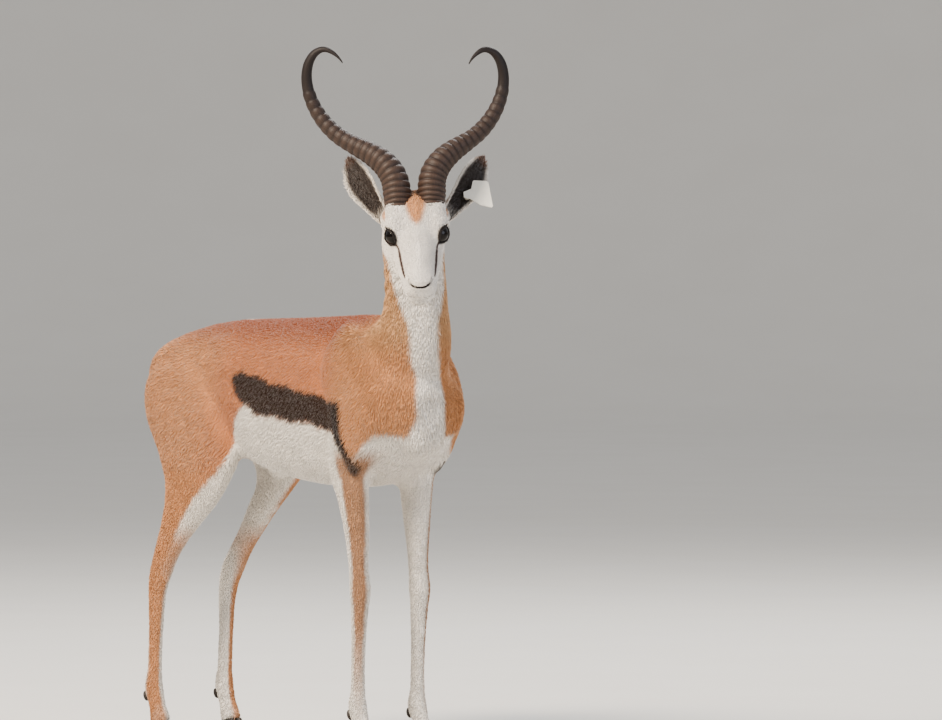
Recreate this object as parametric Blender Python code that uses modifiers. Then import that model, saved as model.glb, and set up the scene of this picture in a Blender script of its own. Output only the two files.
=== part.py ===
"""Life-size springbok ram, standing still with its head turned to its right.

Metres, +Z up. The ram faces -Y, so its right side is at -X. The body is modelled whole from lofts,
fused and smoothed, and then parted into named nodes with thin cuts.
"""

import math

import bmesh
import bpy
import numpy as np
from mathutils import Matrix, Vector
from mathutils.bvhtree import BVHTree

# Driving sizes of the ram, from a shoulder height of about 0.77 m.
GAP = 0.0003
PLAN_SHIFT = (0.0069, -0.2587)
VOXEL = 0.003
BODY_SIDES = 40
LEG_SIDES = 24
SPAN_STEPS = 6
CREASE_ROUNDS = 90
CREASE_SHRINK = 0.12
HEAD_SMOOTHING = 0.15
JOINT_BLEND = 0.030
CUT_MARGIN = 0.006

# The torso, from breast to rump: y, top, underside, half width, height of the widest point,
# roundness above it and roundness below it (2 is an ellipse).
TORSO = (
    (-0.142, 0.642, 0.572, 0.028, 0.604, 2.0, 2.0),
    (-0.120, 0.684, 0.540, 0.062, 0.604, 2.0, 2.1),
    (-0.080, 0.730, 0.506, 0.088, 0.604, 2.0, 2.1),
    (-0.030, 0.758, 0.482, 0.101, 0.604, 1.8, 2.2),
    (0.030, 0.769, 0.468, 0.105, 0.600, 1.7, 2.1),
    (0.100, 0.768, 0.464, 0.108, 0.598, 1.8, 2.1),
    (0.200, 0.763, 0.466, 0.116, 0.598, 2.0, 2.2),
    (0.310, 0.759, 0.476, 0.118, 0.604, 2.1, 2.2),
    (0.405, 0.756, 0.492, 0.110, 0.620, 2.2, 2.1),
    (0.490, 0.753, 0.520, 0.101, 0.638, 2.2, 2.0),
    (0.570, 0.745, 0.552, 0.100, 0.646, 2.2, 2.0),
    (0.645, 0.731, 0.572, 0.099, 0.650, 2.2, 2.0),
    (0.706, 0.714, 0.592, 0.085, 0.650, 2.2, 2.0),
    (0.740, 0.692, 0.618, 0.044, 0.654, 2.0, 2.0),
)

# The neck, from inside the chest to the nape: x, y, z, half width, half depth, turn in degrees.
NECK = (
    (0.000, 0.045, 0.600, 0.080, 0.120, 0),
    (0.002, -0.022, 0.665, 0.078, 0.108, 3),
    (0.004, -0.074, 0.725, 0.067, 0.087, 8),
    (0.0025, -0.0885, 0.785, 0.0558, 0.0705, 14),
    (0.0010, -0.0872, 0.840, 0.0538, 0.0650, 20),
    (0.0000, -0.0825, 0.890, 0.0542, 0.0620, 26),
    (0.0020, -0.0750, 0.930, 0.048, 0.052, 28),
    (0.008, -0.070, 0.955, 0.030, 0.036, 28),
)

# The left foreleg from shoulder blade to coronet: x, y, z, half width, half depth.
FORELEG = (
    (0.044, 0.070, 0.733, 0.020, 0.040),
    (0.074, 0.030, 0.690, 0.034, 0.066),
    (0.084, -0.022, 0.620, 0.036, 0.070),
    (0.080, -0.010, 0.560, 0.035, 0.062),
    (0.070, 0.020, 0.505, 0.030, 0.050),
    (0.064, 0.014, 0.455, 0.026, 0.038),
    (0.061, 0.006, 0.395, 0.0215, 0.0275),
    (0.060, 0.001, 0.330, 0.0175, 0.0200),
    (0.060, -0.004, 0.290, 0.0195, 0.0210),
    (0.060, -0.002, 0.262, 0.0165, 0.0185),
    (0.060, 0.002, 0.190, 0.0125, 0.0155),
    (0.060, 0.004, 0.120, 0.0125, 0.0155),
    (0.060, 0.005, 0.088, 0.0165, 0.0195),
    (0.060, -0.008, 0.060, 0.0145, 0.0155),
    (0.060, -0.018, 0.036, 0.0180, 0.0190),
    (0.060, -0.021, 0.012, 0.0180, 0.0190),
)

# The hind legs from croup to coronet, in level slices. The left one stands further in.
HAUNCH = (
    (0.045, 0.582, 0.700, 0.036, 0.080),
    (0.074, 0.576, 0.645, 0.048, 0.130),
    (0.088, 0.548, 0.580, 0.048, 0.142),
)
GASKIN = {
    "left": (
        (0.086, 0.516, 0.515, 0.037, 0.112),
        (0.078, 0.525, 0.460, 0.0270, 0.062),
        (0.066, 0.558, 0.410, 0.0205, 0.046),
        (0.061, 0.590, 0.370, 0.0180, 0.036),
        (0.056, 0.624, 0.330, 0.0175, 0.031),
        (0.053, 0.643, 0.300, 0.0180, 0.031),
    ),
    "right": (
        (0.090, 0.514, 0.510, 0.039, 0.132),
        (0.091, 0.519, 0.465, 0.0320, 0.107),
        (0.092, 0.537, 0.428, 0.0270, 0.088),
        (0.093, 0.570, 0.390, 0.0230, 0.064),
        (0.095, 0.606, 0.350, 0.0195, 0.044),
        (0.095, 0.630, 0.318, 0.0180, 0.035),
        (0.095, 0.643, 0.295, 0.0180, 0.031),
    ),
}
SHANK = (
    (0.0, 0.656, 0.262, 0.0155, 0.0225),
    (0.0, 0.662, 0.200, 0.0130, 0.0170),
    (0.0, 0.667, 0.125, 0.0128, 0.0165),
    (0.0, 0.670, 0.090, 0.0165, 0.0200),
    (0.0, 0.659, 0.062, 0.0150, 0.0175),
    (0.0, 0.648, 0.038, 0.0178, 0.0195),
    (0.0, 0.645, 0.012, 0.0178, 0.0195),
)
SHANK_PLACE = {"left": (0.052, 0.004), "right": (0.095, 0.000)}

# Rounded masses that the lofts leave out: centre, radii. Paired ones are given for the left side.
PAIRED_MASSES = (
    ((0.067, 0.452, 0.705), (0.026, 0.054, 0.022)),
    ((0.044, 0.694, 0.672), (0.026, 0.028, 0.032)),
    ((0.062, -0.070, 0.605), (0.042, 0.050, 0.060)),
)
MIDDLE_MASSES = (
    ((0.0, 0.385, 0.482), (0.011, 0.036, 0.014)),
    ((0.0, 0.560, 0.528), (0.022, 0.024, 0.038)),
    ((0.0, -0.104, 0.570), (0.044, 0.040, 0.050)),
)

# The tail, from its root inside the rump to the end of the dock: y, z, half width.
TAIL = (
    (0.680, 0.704, 0.0200),
    (0.722, 0.696, 0.0185),
    (0.745, 0.670, 0.0155),
    (0.754, 0.625, 0.0118),
    (0.755, 0.570, 0.0097),
    (0.754, 0.525, 0.0080),
)
TUFT_TOP = 0.5247
TUFT_LENGTH = 0.105
TUFT_LOCKS = 9

# The head's place and turn: the point midway between the horn bases, and the angles of the skull.
HORN_MIDDLE = Vector((-0.0340, -0.1444, 0.9834))
HEAD_YAW = 29.6
HEAD_PITCH = 37.0
HEAD_ROLL = -3.0
HORN_MIDDLE_LOCAL = Vector((0.034, 0.0, 0.052))

# The head along the skull, from nape to nose: distance, top, underside, half width, widest height,
# roundness above and below.
HEAD = (
    (-0.006, 0.020, -0.034, 0.026, -0.006, 2.0, 2.0),
    (0.010, 0.036, -0.050, 0.039, -0.002, 2.1, 2.0),
    (0.035, 0.0500, -0.0600, 0.0470, 0.002, 2.3, 1.9),
    (0.062, 0.0550, -0.0640, 0.0505, 0.008, 2.4, 1.8),
    (0.090, 0.0475, -0.0630, 0.0480, -0.002, 2.3, 1.8),
    (0.114, 0.0375, -0.0600, 0.0425, -0.016, 2.0, 1.9),
    (0.138, 0.0300, -0.0570, 0.0395, -0.023, 1.9, 2.0),
    (0.161, 0.0235, -0.0560, 0.0348, -0.026, 1.9, 2.1),
    (0.184, 0.0170, -0.0560, 0.0312, -0.026, 2.0, 2.2),
    (0.203, 0.0105, -0.0530, 0.0278, -0.025, 2.1, 2.3),
    (0.215, 0.0025, -0.0450, 0.0222, -0.023, 2.2, 2.2),
    (0.222, -0.0065, -0.0340, 0.0135, -0.021, 2.1, 2.1),
)

# Masses of the head on the skull's axes: centre, radii. Paired ones are given for the left side.
HEAD_PAIRS = (
    ((0.094, 0.0380, 0.0130), (0.0270, 0.0150, 0.0230)),
    ((0.066, 0.0310, 0.0372), (0.0260, 0.0220, 0.0185)),
    ((0.084, 0.0375, 0.0280), (0.0300, 0.0165, 0.0160)),
    ((0.1000, 0.0345, 0.0080), (0.0250, 0.0200, 0.0215)),
    ((0.062, 0.0345, -0.0260), (0.0360, 0.0145, 0.0320)),
    ((0.122, 0.0310, -0.0240), (0.0400, 0.0080, 0.0150)),
    ((0.197, 0.0150, -0.0300), (0.0210, 0.0150, 0.0135)),
    ((0.032, 0.0290, 0.0360), (0.0290, 0.0252, 0.0200)),
    ((0.026, 0.0440, -0.0160), (0.0220, 0.0170, 0.0260)),
)
HEAD_MIDDLES = (
    ((0.195, 0.0, -0.0510), (0.0245, 0.0245, 0.0140)),
    ((0.2155, 0.0, -0.0060), (0.0090, 0.0190, 0.0095)),
)

EYE = Vector((0.104, 0.0368, 0.0115))
EYE_RADIUS = 0.0180
EYE_AXIS = Vector((0.64, 0.74, 0.20))
LID_WALL = 0.0026
LID_LENGTH = 0.0160
LID_HEIGHT = 0.0124
LID_SLOPE = 18.0
NOSTRIL = Vector((0.2185, 0.0135, -0.0065))
NOSTRIL_SIZE = (0.0060, 0.0032, 0.0108)
NOSTRIL_TURN = -58.0
MOUTH_CENTRE = Vector((0.160, 0.0, -0.0350))
MOUTH_REACH = 84.0
MOUTH_RADIUS = 0.0018

# One horn as a heading that turns along its length, seen from the front of the face: share of the
# length, degrees above level outwards, degrees that it leans back.
HORN_LENGTH = {"left": 0.3680, "right": 0.3910}
HORN_FOOT = 0.0300
HORN_ROOT = 0.045
HORN_COURSE = (
    (0.000, 88, 14),
    (0.037, 82, 16),
    (0.099, 60, 20),
    (0.179, 40, 26),
    (0.266, 29, 28),
    (0.350, 31, 27),
    (0.436, 44, 22),
    (0.532, 58, 12),
    (0.628, 73, 2),
    (0.707, 88, -8),
    (0.772, 106, -14),
    (0.826, 129, -18),
    (0.868, 160, -20),
    (0.913, 209, -20),
    (1.000, 242, -16),
)
HORN_WIDTH = (
    (0.000, 0.0232),
    (0.099, 0.0222),
    (0.181, 0.0200),
    (0.266, 0.0168),
    (0.351, 0.0142),
    (0.434, 0.0136),
    (0.533, 0.0123),
    (0.628, 0.0107),
    (0.704, 0.0096),
    (0.771, 0.0088),
    (0.830, 0.0072),
    (0.870, 0.0055),
    (0.931, 0.0036),
    (1.000, 0.0009),
)
HORN_DEPTH_RATIO = 1.14
HORN_RINGS = 24
HORN_RINGS_FROM = -0.110
HORN_RINGS_TO = 0.660
HORN_RINGS_SPREAD = 1.35
RING_HEIGHT = 0.0028
HORN_SIDES = 10
HORN_TIP_STEPS = 12

# The ear as a cupped leaf: share of the length, half width, degrees that the cup wraps to each side.
EAR_LENGTH = 0.140
EAR_LEAF = (
    (-0.10, 0.0080, 130),
    (0.00, 0.0120, 120),
    (0.14, 0.0145, 104),
    (0.32, 0.0200, 82),
    (0.50, 0.0255, 66),
    (0.68, 0.0250, 54),
    (0.84, 0.0170, 44),
    (0.95, 0.0080, 34),
    (1.00, 0.0022, 30),
)
EAR_SUNK = 0.10
EAR_ROOT = Vector((0.030, 0.0490, -0.0140))
EAR_THICKNESS = 0.0026
EAR_STEPS = 9
EAR_ARC_STEPS = 8
EAR_RISE = {"left": 51.0, "right": 59.0}
EAR_LEAN = {"left": 18.0, "right": 18.0}
EAR_OPEN = {"left": 18.0, "right": 18.0}

# The ear tag, a flag of moulded plastic held by a stud through the left ear.
TAG_OUTLINE = (
    (-0.0050, -0.0050),
    (-0.0050, 0.0050),
    (0.0085, 0.0100),
    (0.0120, 0.0235),
    (0.0145, 0.0255),
    (0.0365, 0.0225),
    (0.0390, 0.0200),
    (0.0440, -0.0255),
    (0.0415, -0.0280),
    (0.0235, -0.0220),
    (0.0060, -0.0090),
)
TAG_THICKNESS = 0.0018
TAG_SHARE = 0.40
TAG_ARC = 0.45
TAG_FACE = 0.62
STUD_RADIUS = 0.0050
STUD_HEIGHT = 0.0135
STUD_BACK = 0.0030

# One claw of a hoof, about the middle of the foot: reach to toe and heel, width and the coronet's
# heights. Each ring has its share of the height, its reach to toe and heel and its share of the width.
HOOF_TOE = 0.040
HOOF_HEEL = 0.020
HOOF_WIDTH = 0.0185
HOOF_RINGS = (
    (0.00, 0.0400, 0.0195, 1.00),
    (0.14, 0.0400, 0.0200, 1.03),
    (0.50, 0.0305, 0.0198, 0.99),
    (1.00, 0.0195, 0.0190, 0.94),
)
HOOF_SPLIT = 0.0006
HOOF_TOP_FRONT = 0.036
HOOF_TOP_HEEL = 0.022
HOOF_SIDES = 12
DEWCLAW_RADII = (0.0052, 0.0048, 0.0095)

FUR_TAN = (0.50, 0.27, 0.15, 1.0)
FUR_WHITE = (0.80, 0.78, 0.74, 1.0)
HORN_BROWN = (0.075, 0.055, 0.045, 1.0)
HOOF_BLACK = (0.035, 0.03, 0.028, 1.0)
HAIR_BLACK = (0.02, 0.016, 0.014, 1.0)
EYE_DARK = (0.012, 0.008, 0.006, 1.0)
TAG_WHITE = (0.85, 0.85, 0.83, 1.0)
STUD_DARK = (0.05, 0.05, 0.05, 1.0)


# Scene, materials and meshes.
def clear_scene():
    for obj in list(bpy.data.objects):
        bpy.data.objects.remove(obj, do_unlink=True)


def material(name, color, roughness):
    made = bpy.data.materials.new(name)
    made.use_nodes = True
    shader = made.node_tree.nodes["Principled BSDF"]
    shader.inputs["Base Color"].default_value = color
    shader.inputs["Roughness"].default_value = roughness
    shader.inputs["Metallic"].default_value = 0.0
    return made


def collection(name):
    made = bpy.data.collections.new(name)
    bpy.context.scene.collection.children.link(made)
    return made


def mesh_object(name, points, faces, group):
    mesh = bpy.data.meshes.new(name)
    mesh.from_pydata([tuple(p) for p in points], [], faces)
    mesh.update()
    made = bpy.data.objects.new(name, mesh)
    group.objects.link(made)
    return made


def copy_of(obj, name, group):
    made = bpy.data.objects.new(name, obj.data.copy())
    group.objects.link(made)
    return made


def drop(*objects):
    for obj in objects:
        bpy.data.objects.remove(obj, do_unlink=True)


def apply(obj, modifier):
    with bpy.context.temp_override(object=obj, active_object=obj, selected_objects=[obj]):
        bpy.ops.object.modifier_apply(modifier=modifier.name)


def face_out(obj):
    shape = bmesh.new()
    shape.from_mesh(obj.data)
    bmesh.ops.recalc_face_normals(shape, faces=shape.faces)
    if shape.calc_volume(signed=True) < 0:
        bmesh.ops.reverse_faces(shape, faces=shape.faces)
    shape.to_mesh(obj.data)
    shape.free()


def keep_largest(obj):
    """Leaves only the largest closed surface of a mesh, which drops scraps and sealed hollows."""
    shape = bmesh.new()
    shape.from_mesh(obj.data)
    seen = set()
    parts = []
    for start in shape.verts:
        if start in seen:
            continue
        part = {start}
        waiting = [start]
        while waiting:
            for edge in waiting.pop().link_edges:
                for other in edge.verts:
                    if other not in part:
                        part.add(other)
                        waiting.append(other)
        seen |= part
        parts.append(part)
    parts.sort(key=len)
    spare = [vert for part in parts[:-1] for vert in part]
    bmesh.ops.delete(shape, geom=spare, context="VERTS")
    shape.to_mesh(obj.data)
    shape.free()


def boolean(obj, other, operation, solver="EXACT"):
    modifier = obj.modifiers.new(operation.lower(), "BOOLEAN")
    modifier.operation = operation
    modifier.solver = solver
    modifier.object = other
    apply(obj, modifier)


def decimate(obj, triangles):
    count = sum(len(face.vertices) - 2 for face in obj.data.polygons)
    modifier = obj.modifiers.new("thin", "DECIMATE")
    modifier.ratio = min(1.0, triangles / count)
    apply(obj, modifier)


def swollen(obj, amount, group):
    """A copy of a closed mesh, grown evenly along its normals."""
    made = copy_of(obj, obj.name + "_swollen", group)
    for vert, normal in zip(made.data.vertices, [v.normal.copy() for v in obj.data.vertices]):
        vert.co += normal * amount
    return made


def cut_clear(obj, *neighbours):
    """Cuts a node back to its neighbours' surfaces, with the gap between them."""
    for neighbour in neighbours:
        other = swollen(neighbour, GAP, cutters)
        boolean(obj, other, "DIFFERENCE")
        drop(other)
    keep_largest(obj)


# Curves and sections.
def spline_rows(rows, steps=SPAN_STEPS):
    """Rows of sizes read at more stations, along a smooth curve that passes through each row."""
    rows = np.array(rows, float)
    slopes = np.gradient(rows, axis=0)
    made = []
    for i in range(len(rows) - 1):
        for t in np.linspace(0, 1, steps, endpoint=False):
            start = (2 * t**3 - 3 * t**2 + 1) * rows[i] + (t**3 - 2 * t**2 + t) * slopes[i]
            end = (3 * t**2 - 2 * t**3) * rows[i + 1] + (t**3 - t**2) * slopes[i + 1]
            made.append(start + end)
    made.append(rows[-1])
    return np.array(made)


def superellipse(angles, power):
    cosine = np.cos(angles)
    sine = np.sin(angles)
    across = np.sign(cosine) * np.abs(cosine) ** (2 / power)
    up = np.sign(sine) * np.abs(sine) ** (2 / power)
    return across, up


def loft(name, rings, group):
    """A closed tube through rings of equal length, each end closed with a fan."""
    count = len(rings[0])
    points = [p for ring in rings for p in ring]
    faces = []
    for i in range(len(rings) - 1):
        for j in range(count):
            k = (j + 1) % count
            faces.append((i * count + j, i * count + k, (i + 1) * count + k, (i + 1) * count + j))
    for i in (0, len(rings) - 1):
        points.append(np.mean(rings[i], axis=0))
        for j in range(count):
            faces.append((i * count + j, i * count + (j + 1) % count, len(points) - 1))
    made = mesh_object(name, points, faces, group)
    face_out(made)
    return made


def profile_rings(rows, sides, place):
    """Rings of a body whose top, underside and width are given at each station."""
    angles = np.linspace(0, 2 * math.pi, sides, endpoint=False)
    up = np.sin(angles) >= 0
    rings = []
    for along, top, bottom, half, waist, above, below in spline_rows(rows):
        x1, z1 = superellipse(angles, above)
        x2, z2 = superellipse(angles, below)
        x = np.where(up, x1, x2) * half
        z = waist + np.where(up, z1 * (top - waist), z2 * (waist - bottom))
        rings.append(np.array([place(along, a, b) for a, b in zip(x, z)]))
    return rings


def limb_rings(rows, sides):
    """Rings square to a limb's path: x, y, z, half width, half depth and, if given, a turn."""
    rows = spline_rows(rows)
    tangents = np.gradient(rows[:, :3], axis=0)
    angles = np.linspace(0, 2 * math.pi, sides, endpoint=False)
    rings = []
    for row, tangent in zip(rows, tangents):
        along = Vector(tangent).normalized()
        turn = math.radians(row[5]) if len(row) > 5 else 0.0
        across = Vector((math.cos(turn), -math.sin(turn), 0.0))
        across = (across - along * across.dot(along)).normalized()
        deep = along.cross(across).normalized()
        ring = []
        for a in angles:
            ring.append(Vector(row[:3]) + across * math.cos(a) * row[3] + deep * math.sin(a) * row[4])
        rings.append(np.array(ring))
    return rings


def level_rings(rows, sides):
    """Rings in level planes: x, y, z, half width and half depth at each height."""
    angles = np.linspace(0, 2 * math.pi, sides, endpoint=False)
    rings = []
    for x, y, z, half, deep in spline_rows(rows):
        rings.append(np.array([(x + half * math.cos(a), y + deep * math.sin(a), z) for a in angles]))
    return rings


def ellipsoid(name, centre, radii, group, place=Matrix.Identity(4), segments=24, rings=16):
    """An ellipsoid whose centre and axes are given in the frame of a placing matrix."""
    shape = bmesh.new()
    bmesh.ops.create_uvsphere(shape, u_segments=segments, v_segments=rings, radius=1.0)
    turn = place @ Matrix.Translation(centre) @ Matrix.Diagonal((*radii, 1.0))
    bmesh.ops.transform(shape, matrix=turn, verts=shape.verts)
    mesh = bpy.data.meshes.new(name)
    shape.to_mesh(mesh)
    shape.free()
    made = bpy.data.objects.new(name, mesh)
    group.objects.link(made)
    return made


def lock_rings(root, course, length, width, thickness, curl, steps=4):
    """Rings of one flat, tapered lock that bends down as it leaves its root."""
    rings = []
    place = Vector(root)
    heading = Vector(course).normalized()
    for i in range(steps + 1):
        share = i / steps
        taper = max(0.10, (1 - share) ** 0.7) * (1 + 0.5 * share)
        across = heading.cross(Vector((0, 0, 1)))
        across = across.normalized() if across.length > 0.1 else Vector((1, 0, 0))
        face = across.cross(heading).normalized()
        half = across * width * 0.5 * taper
        wall = face * thickness * 0.5 * taper
        rings.append(np.array([place + half, place + wall, place - half, place - wall]))
        place = place + heading * (length / steps)
        heading = (heading + Vector((0, 0, -curl))).normalized()
    return rings


# The body.
def head_matrix():
    """Skull axes to the body's: x runs to the nose, y to the ram's left and z to the forehead."""
    forward = Matrix.Rotation(math.radians(-HEAD_YAW), 3, "Z") @ Vector((0, -1, 0))
    left = Matrix.Rotation(math.radians(-HEAD_YAW), 3, "Z") @ Vector((1, 0, 0))
    up = Vector((0, 0, 1))
    pitch = math.radians(HEAD_PITCH)
    nose = forward * math.cos(pitch) - up * math.sin(pitch)
    brow = forward * math.sin(pitch) + up * math.cos(pitch)
    roll = Matrix.Rotation(math.radians(-HEAD_ROLL), 3, forward)
    turn = roll @ Matrix((nose, left, brow)).transposed()
    upright = roll @ Matrix((forward, left, up)).transposed()
    place = Matrix.Translation(HORN_MIDDLE - turn @ HORN_MIDDLE_LOCAL) @ turn.to_4x4()
    return place, upright


def on_side(point, side):
    return Vector((point[0] if side == "left" else -point[0], point[1], point[2]))


def on_head_side(point, side):
    return Vector((point[0], point[1] if side == "left" else -point[1], point[2]))


def fore_rows(side):
    return [(*on_side(row[:3], side), *row[3:]) for row in FORELEG]


def hind_rows(side):
    across, back = SHANK_PLACE[side]
    shank = tuple((across, y + back, z, half, deep) for _, y, z, half, deep in SHANK)
    return [(*on_side(row[:3], side), *row[3:]) for row in HAUNCH + GASKIN[side] + shank]


def flesh_pieces(group):
    """Every loft that the body is fused from, each a closed shape that overlaps its neighbours."""
    loft("torso_form", profile_rings(TORSO, BODY_SIDES, lambda y, x, z: (x, y, z)), group)
    loft("neck_form", limb_rings(NECK, BODY_SIDES), group)
    skull = profile_rings(HEAD, BODY_SIDES, lambda u, w, v: head_place @ Vector((u, w, v)))
    loft("head_form", skull, group)
    for side in ("left", "right"):
        loft("foreleg_form_" + side, limb_rings(fore_rows(side), LEG_SIDES), group)
        loft("hindleg_form_" + side, level_rings(hind_rows(side), LEG_SIDES), group)
        for centre, radii in PAIRED_MASSES:
            ellipsoid("mass", on_side(centre, side), radii, group)
        for centre, radii in HEAD_PAIRS:
            ellipsoid("mass", on_head_side(centre, side), radii, group, head_place)
    for centre, radii in MIDDLE_MASSES:
        ellipsoid("mass", centre, radii, group)
    for centre, radii in HEAD_MIDDLES:
        ellipsoid("mass", centre, radii, group, head_place)


def fuse(group, name):
    """Joins the closed forms of a group and remeshes them as one skin."""
    members = list(group.objects)
    with bpy.context.temp_override(
        active_object=members[0], object=members[0], selected_editable_objects=members
    ):
        bpy.ops.object.join()
    fused = group.objects[0]
    fused.name = name
    remesh = fused.modifiers.new("fuse", "REMESH")
    remesh.mode = "VOXEL"
    remesh.voxel_size = VOXEL
    apply(fused, remesh)
    return fused


def fill_creases(obj, rounds, shrink):
    """Smooths a fused skin outwards, so that creases fill and thin limbs keep their girth.

    The head is smoothed less than the rest, so that its lips, cheeks and brows stay.
    """
    mesh = obj.data
    count = len(mesh.vertices)
    co = np.empty(count * 3)
    mesh.vertices.foreach_get("co", co)
    co = co.reshape(-1, 3)
    edges = np.empty(len(mesh.edges) * 2, int)
    mesh.edges.foreach_get("vertices", edges)
    edges = edges.reshape(-1, 2)
    degree = np.bincount(edges.ravel(), minlength=count)[:, None]
    normals = np.empty(count * 3)
    joint, outward = (np.array(v) for v in head_joint)
    above = (co - joint) @ outward / np.linalg.norm(outward)
    share = 1 - (1 - HEAD_SMOOTHING) * np.clip(above / JOINT_BLEND, 0, 1)[:, None]
    for _ in range(rounds):
        mesh.vertices.foreach_set("co", co.ravel())
        mesh.update()
        mesh.vertex_normals.foreach_get("vector", normals)
        normal = normals.reshape(-1, 3)
        total = np.zeros_like(co)
        for axis in range(3):
            total[:, axis] = np.bincount(edges[:, 0], co[edges[:, 1], axis], count)
            total[:, axis] += np.bincount(edges[:, 1], co[edges[:, 0], axis], count)
        step = 0.6 * share * (total / degree - co)
        along = (step * normal).sum(1, keepdims=True)
        step -= normal * np.where(along < 0, along * (1 - shrink), 0.0)
        co = co + step
    mesh.vertices.foreach_set("co", co.ravel())
    mesh.update()


# Regions that part the body into nodes. Each is the space behind a few planes: point, outward normal.
NECK_JOINT = (Vector((0.0, -0.0675, 0.7065)), Vector((0.0, -0.67, 0.74)))
HEAD_JOINT_LOCAL = (Vector((0.075, 0.0, -0.066)), Vector((-0.05, 0.0, 1.0)))
FORELEG_PLANES = (
    ((0.030, 0.0, 0.475), (-0.52, 0.0, 0.85)),
    ((0.012, 0.0, 0.300), (-1.0, 0.0, 0.0)),
    ((0.0, 0.130, 0.400), (0.0, 1.0, 0.25)),
)
HINDLEG_PLANES = (
    ((0.020, 0.0, 0.520), (-0.72, 0.0, 0.70)),
    ((0.006, 0.0, 0.400), (-1.0, 0.0, 0.0)),
    ((0.0, 0.400, 0.440), (0.0, -0.92, 0.38)),
)
SPACE = 1.6


def region(name, planes, grow):
    """The solid space on the inner side of every plane, with the planes moved out by a margin."""
    shape = bmesh.new()
    bmesh.ops.create_cube(shape, size=SPACE, matrix=Matrix.Translation((0, 0.2, 0.6)))
    for point, outward in planes:
        outward = Vector(outward).normalized()
        bmesh.ops.bisect_plane(
            shape,
            geom=shape.verts[:] + shape.edges[:] + shape.faces[:],
            plane_co=Vector(point) + outward * grow,
            plane_no=outward,
            clear_outer=True,
        )
        open_edges = [edge for edge in shape.edges if len(edge.link_faces) == 1]
        bmesh.ops.holes_fill(shape, edges=open_edges)
    bmesh.ops.recalc_face_normals(shape, faces=shape.faces)
    mesh = bpy.data.meshes.new(name)
    shape.to_mesh(mesh)
    shape.free()
    made = bpy.data.objects.new(name, mesh)
    cutters.objects.link(made)
    return made


def side_planes(planes, side):
    return [(on_side(point, side), on_side(outward, side)) for point, outward in planes]


def opposite(plane):
    return (plane[0], -plane[1])


def body_node(name, planes, triangles, finish, holes=()):
    """A node cut from the body: roughly first, then thinned, then to its exact faces."""
    node = copy_of(body, name, parts)
    rough = region("rough", planes, CUT_MARGIN)
    boolean(node, rough, "INTERSECT", "MANIFOLD")
    drop(rough)
    for hole in holes:
        rough = region("rough", hole, -CUT_MARGIN)
        boolean(node, rough, "DIFFERENCE", "MANIFOLD")
        drop(rough)
    keep_largest(node)
    decimate(node, triangles)
    exact = region("exact", planes, -GAP / 2)
    boolean(node, exact, "INTERSECT")
    drop(exact)
    for hole in holes:
        exact = region("exact", hole, GAP / 2)
        boolean(node, exact, "DIFFERENCE")
        drop(exact)
    keep_largest(node)
    node.data.materials.clear()
    node.data.materials.append(finish)
    return node


# The head's features.
def eye_turn(side):
    """The frame of one eye: x along the slit between the lids, y up it and z out of the ball."""
    axis = on_head_side(EYE_AXIS, side).normalized()
    slope = math.radians(LID_SLOPE)
    slit = Vector((math.cos(slope), 0.0, -math.sin(slope)))
    slit = (slit - axis * slit.dot(axis)).normalized()
    return Matrix((slit, axis.cross(slit), axis)).transposed().to_4x4()


def lid_opening(side):
    """The almond slit between the lids, as a prism that runs out of the eye."""
    place = head_place @ Matrix.Translation(on_head_side(EYE, side)) @ eye_turn(side)
    rings = []
    for out in (0.4, 1.2, 2.4):
        ring = []
        for a in np.linspace(0, 2 * math.pi, 14, endpoint=False):
            along = LID_LENGTH * math.cos(a)
            across = LID_HEIGHT * math.sin(a) * (1 - 0.35 * math.cos(a) ** 2)
            ring.append(place @ Vector((along, across, out * EYE_RADIUS)))
        rings.append(np.array(ring))
    return loft("slit", rings, cutters)


def cut_eye(head, side):
    centre = head_place @ on_head_side(EYE, side)
    still = Matrix.Identity(4)
    ball = EYE_RADIUS + GAP
    shell = ball + LID_WALL
    lids = ellipsoid("lids", centre, (shell,) * 3, cutters, still, 16, 10)
    boolean(head, lids, "UNION")
    socket = ellipsoid("socket", centre, (ball,) * 3, cutters, still, 14, 9)
    boolean(head, socket, "DIFFERENCE")
    slit = lid_opening(side)
    boolean(head, slit, "DIFFERENCE")
    drop(lids, socket, slit)


def eye_ball(side):
    centre = head_place @ on_head_side(EYE, side)
    made = ellipsoid("eye_" + side, centre, (EYE_RADIUS,) * 3, parts, Matrix.Identity(4), 14, 9)
    made.data.materials.append(eye_finish)
    return made


def cut_nostril(head, side):
    turn = math.radians(NOSTRIL_TURN if side == "left" else -NOSTRIL_TURN)
    place = head_place @ Matrix.Translation(on_head_side(NOSTRIL, side))
    place = place @ Matrix.Rotation(turn, 4, "X") @ Matrix.Rotation(math.radians(25), 4, "Y")
    hole = ellipsoid("nostril", (0, 0, 0), NOSTRIL_SIZE, cutters, place, 12, 8)
    boolean(head, hole, "DIFFERENCE")
    drop(hole)


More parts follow.
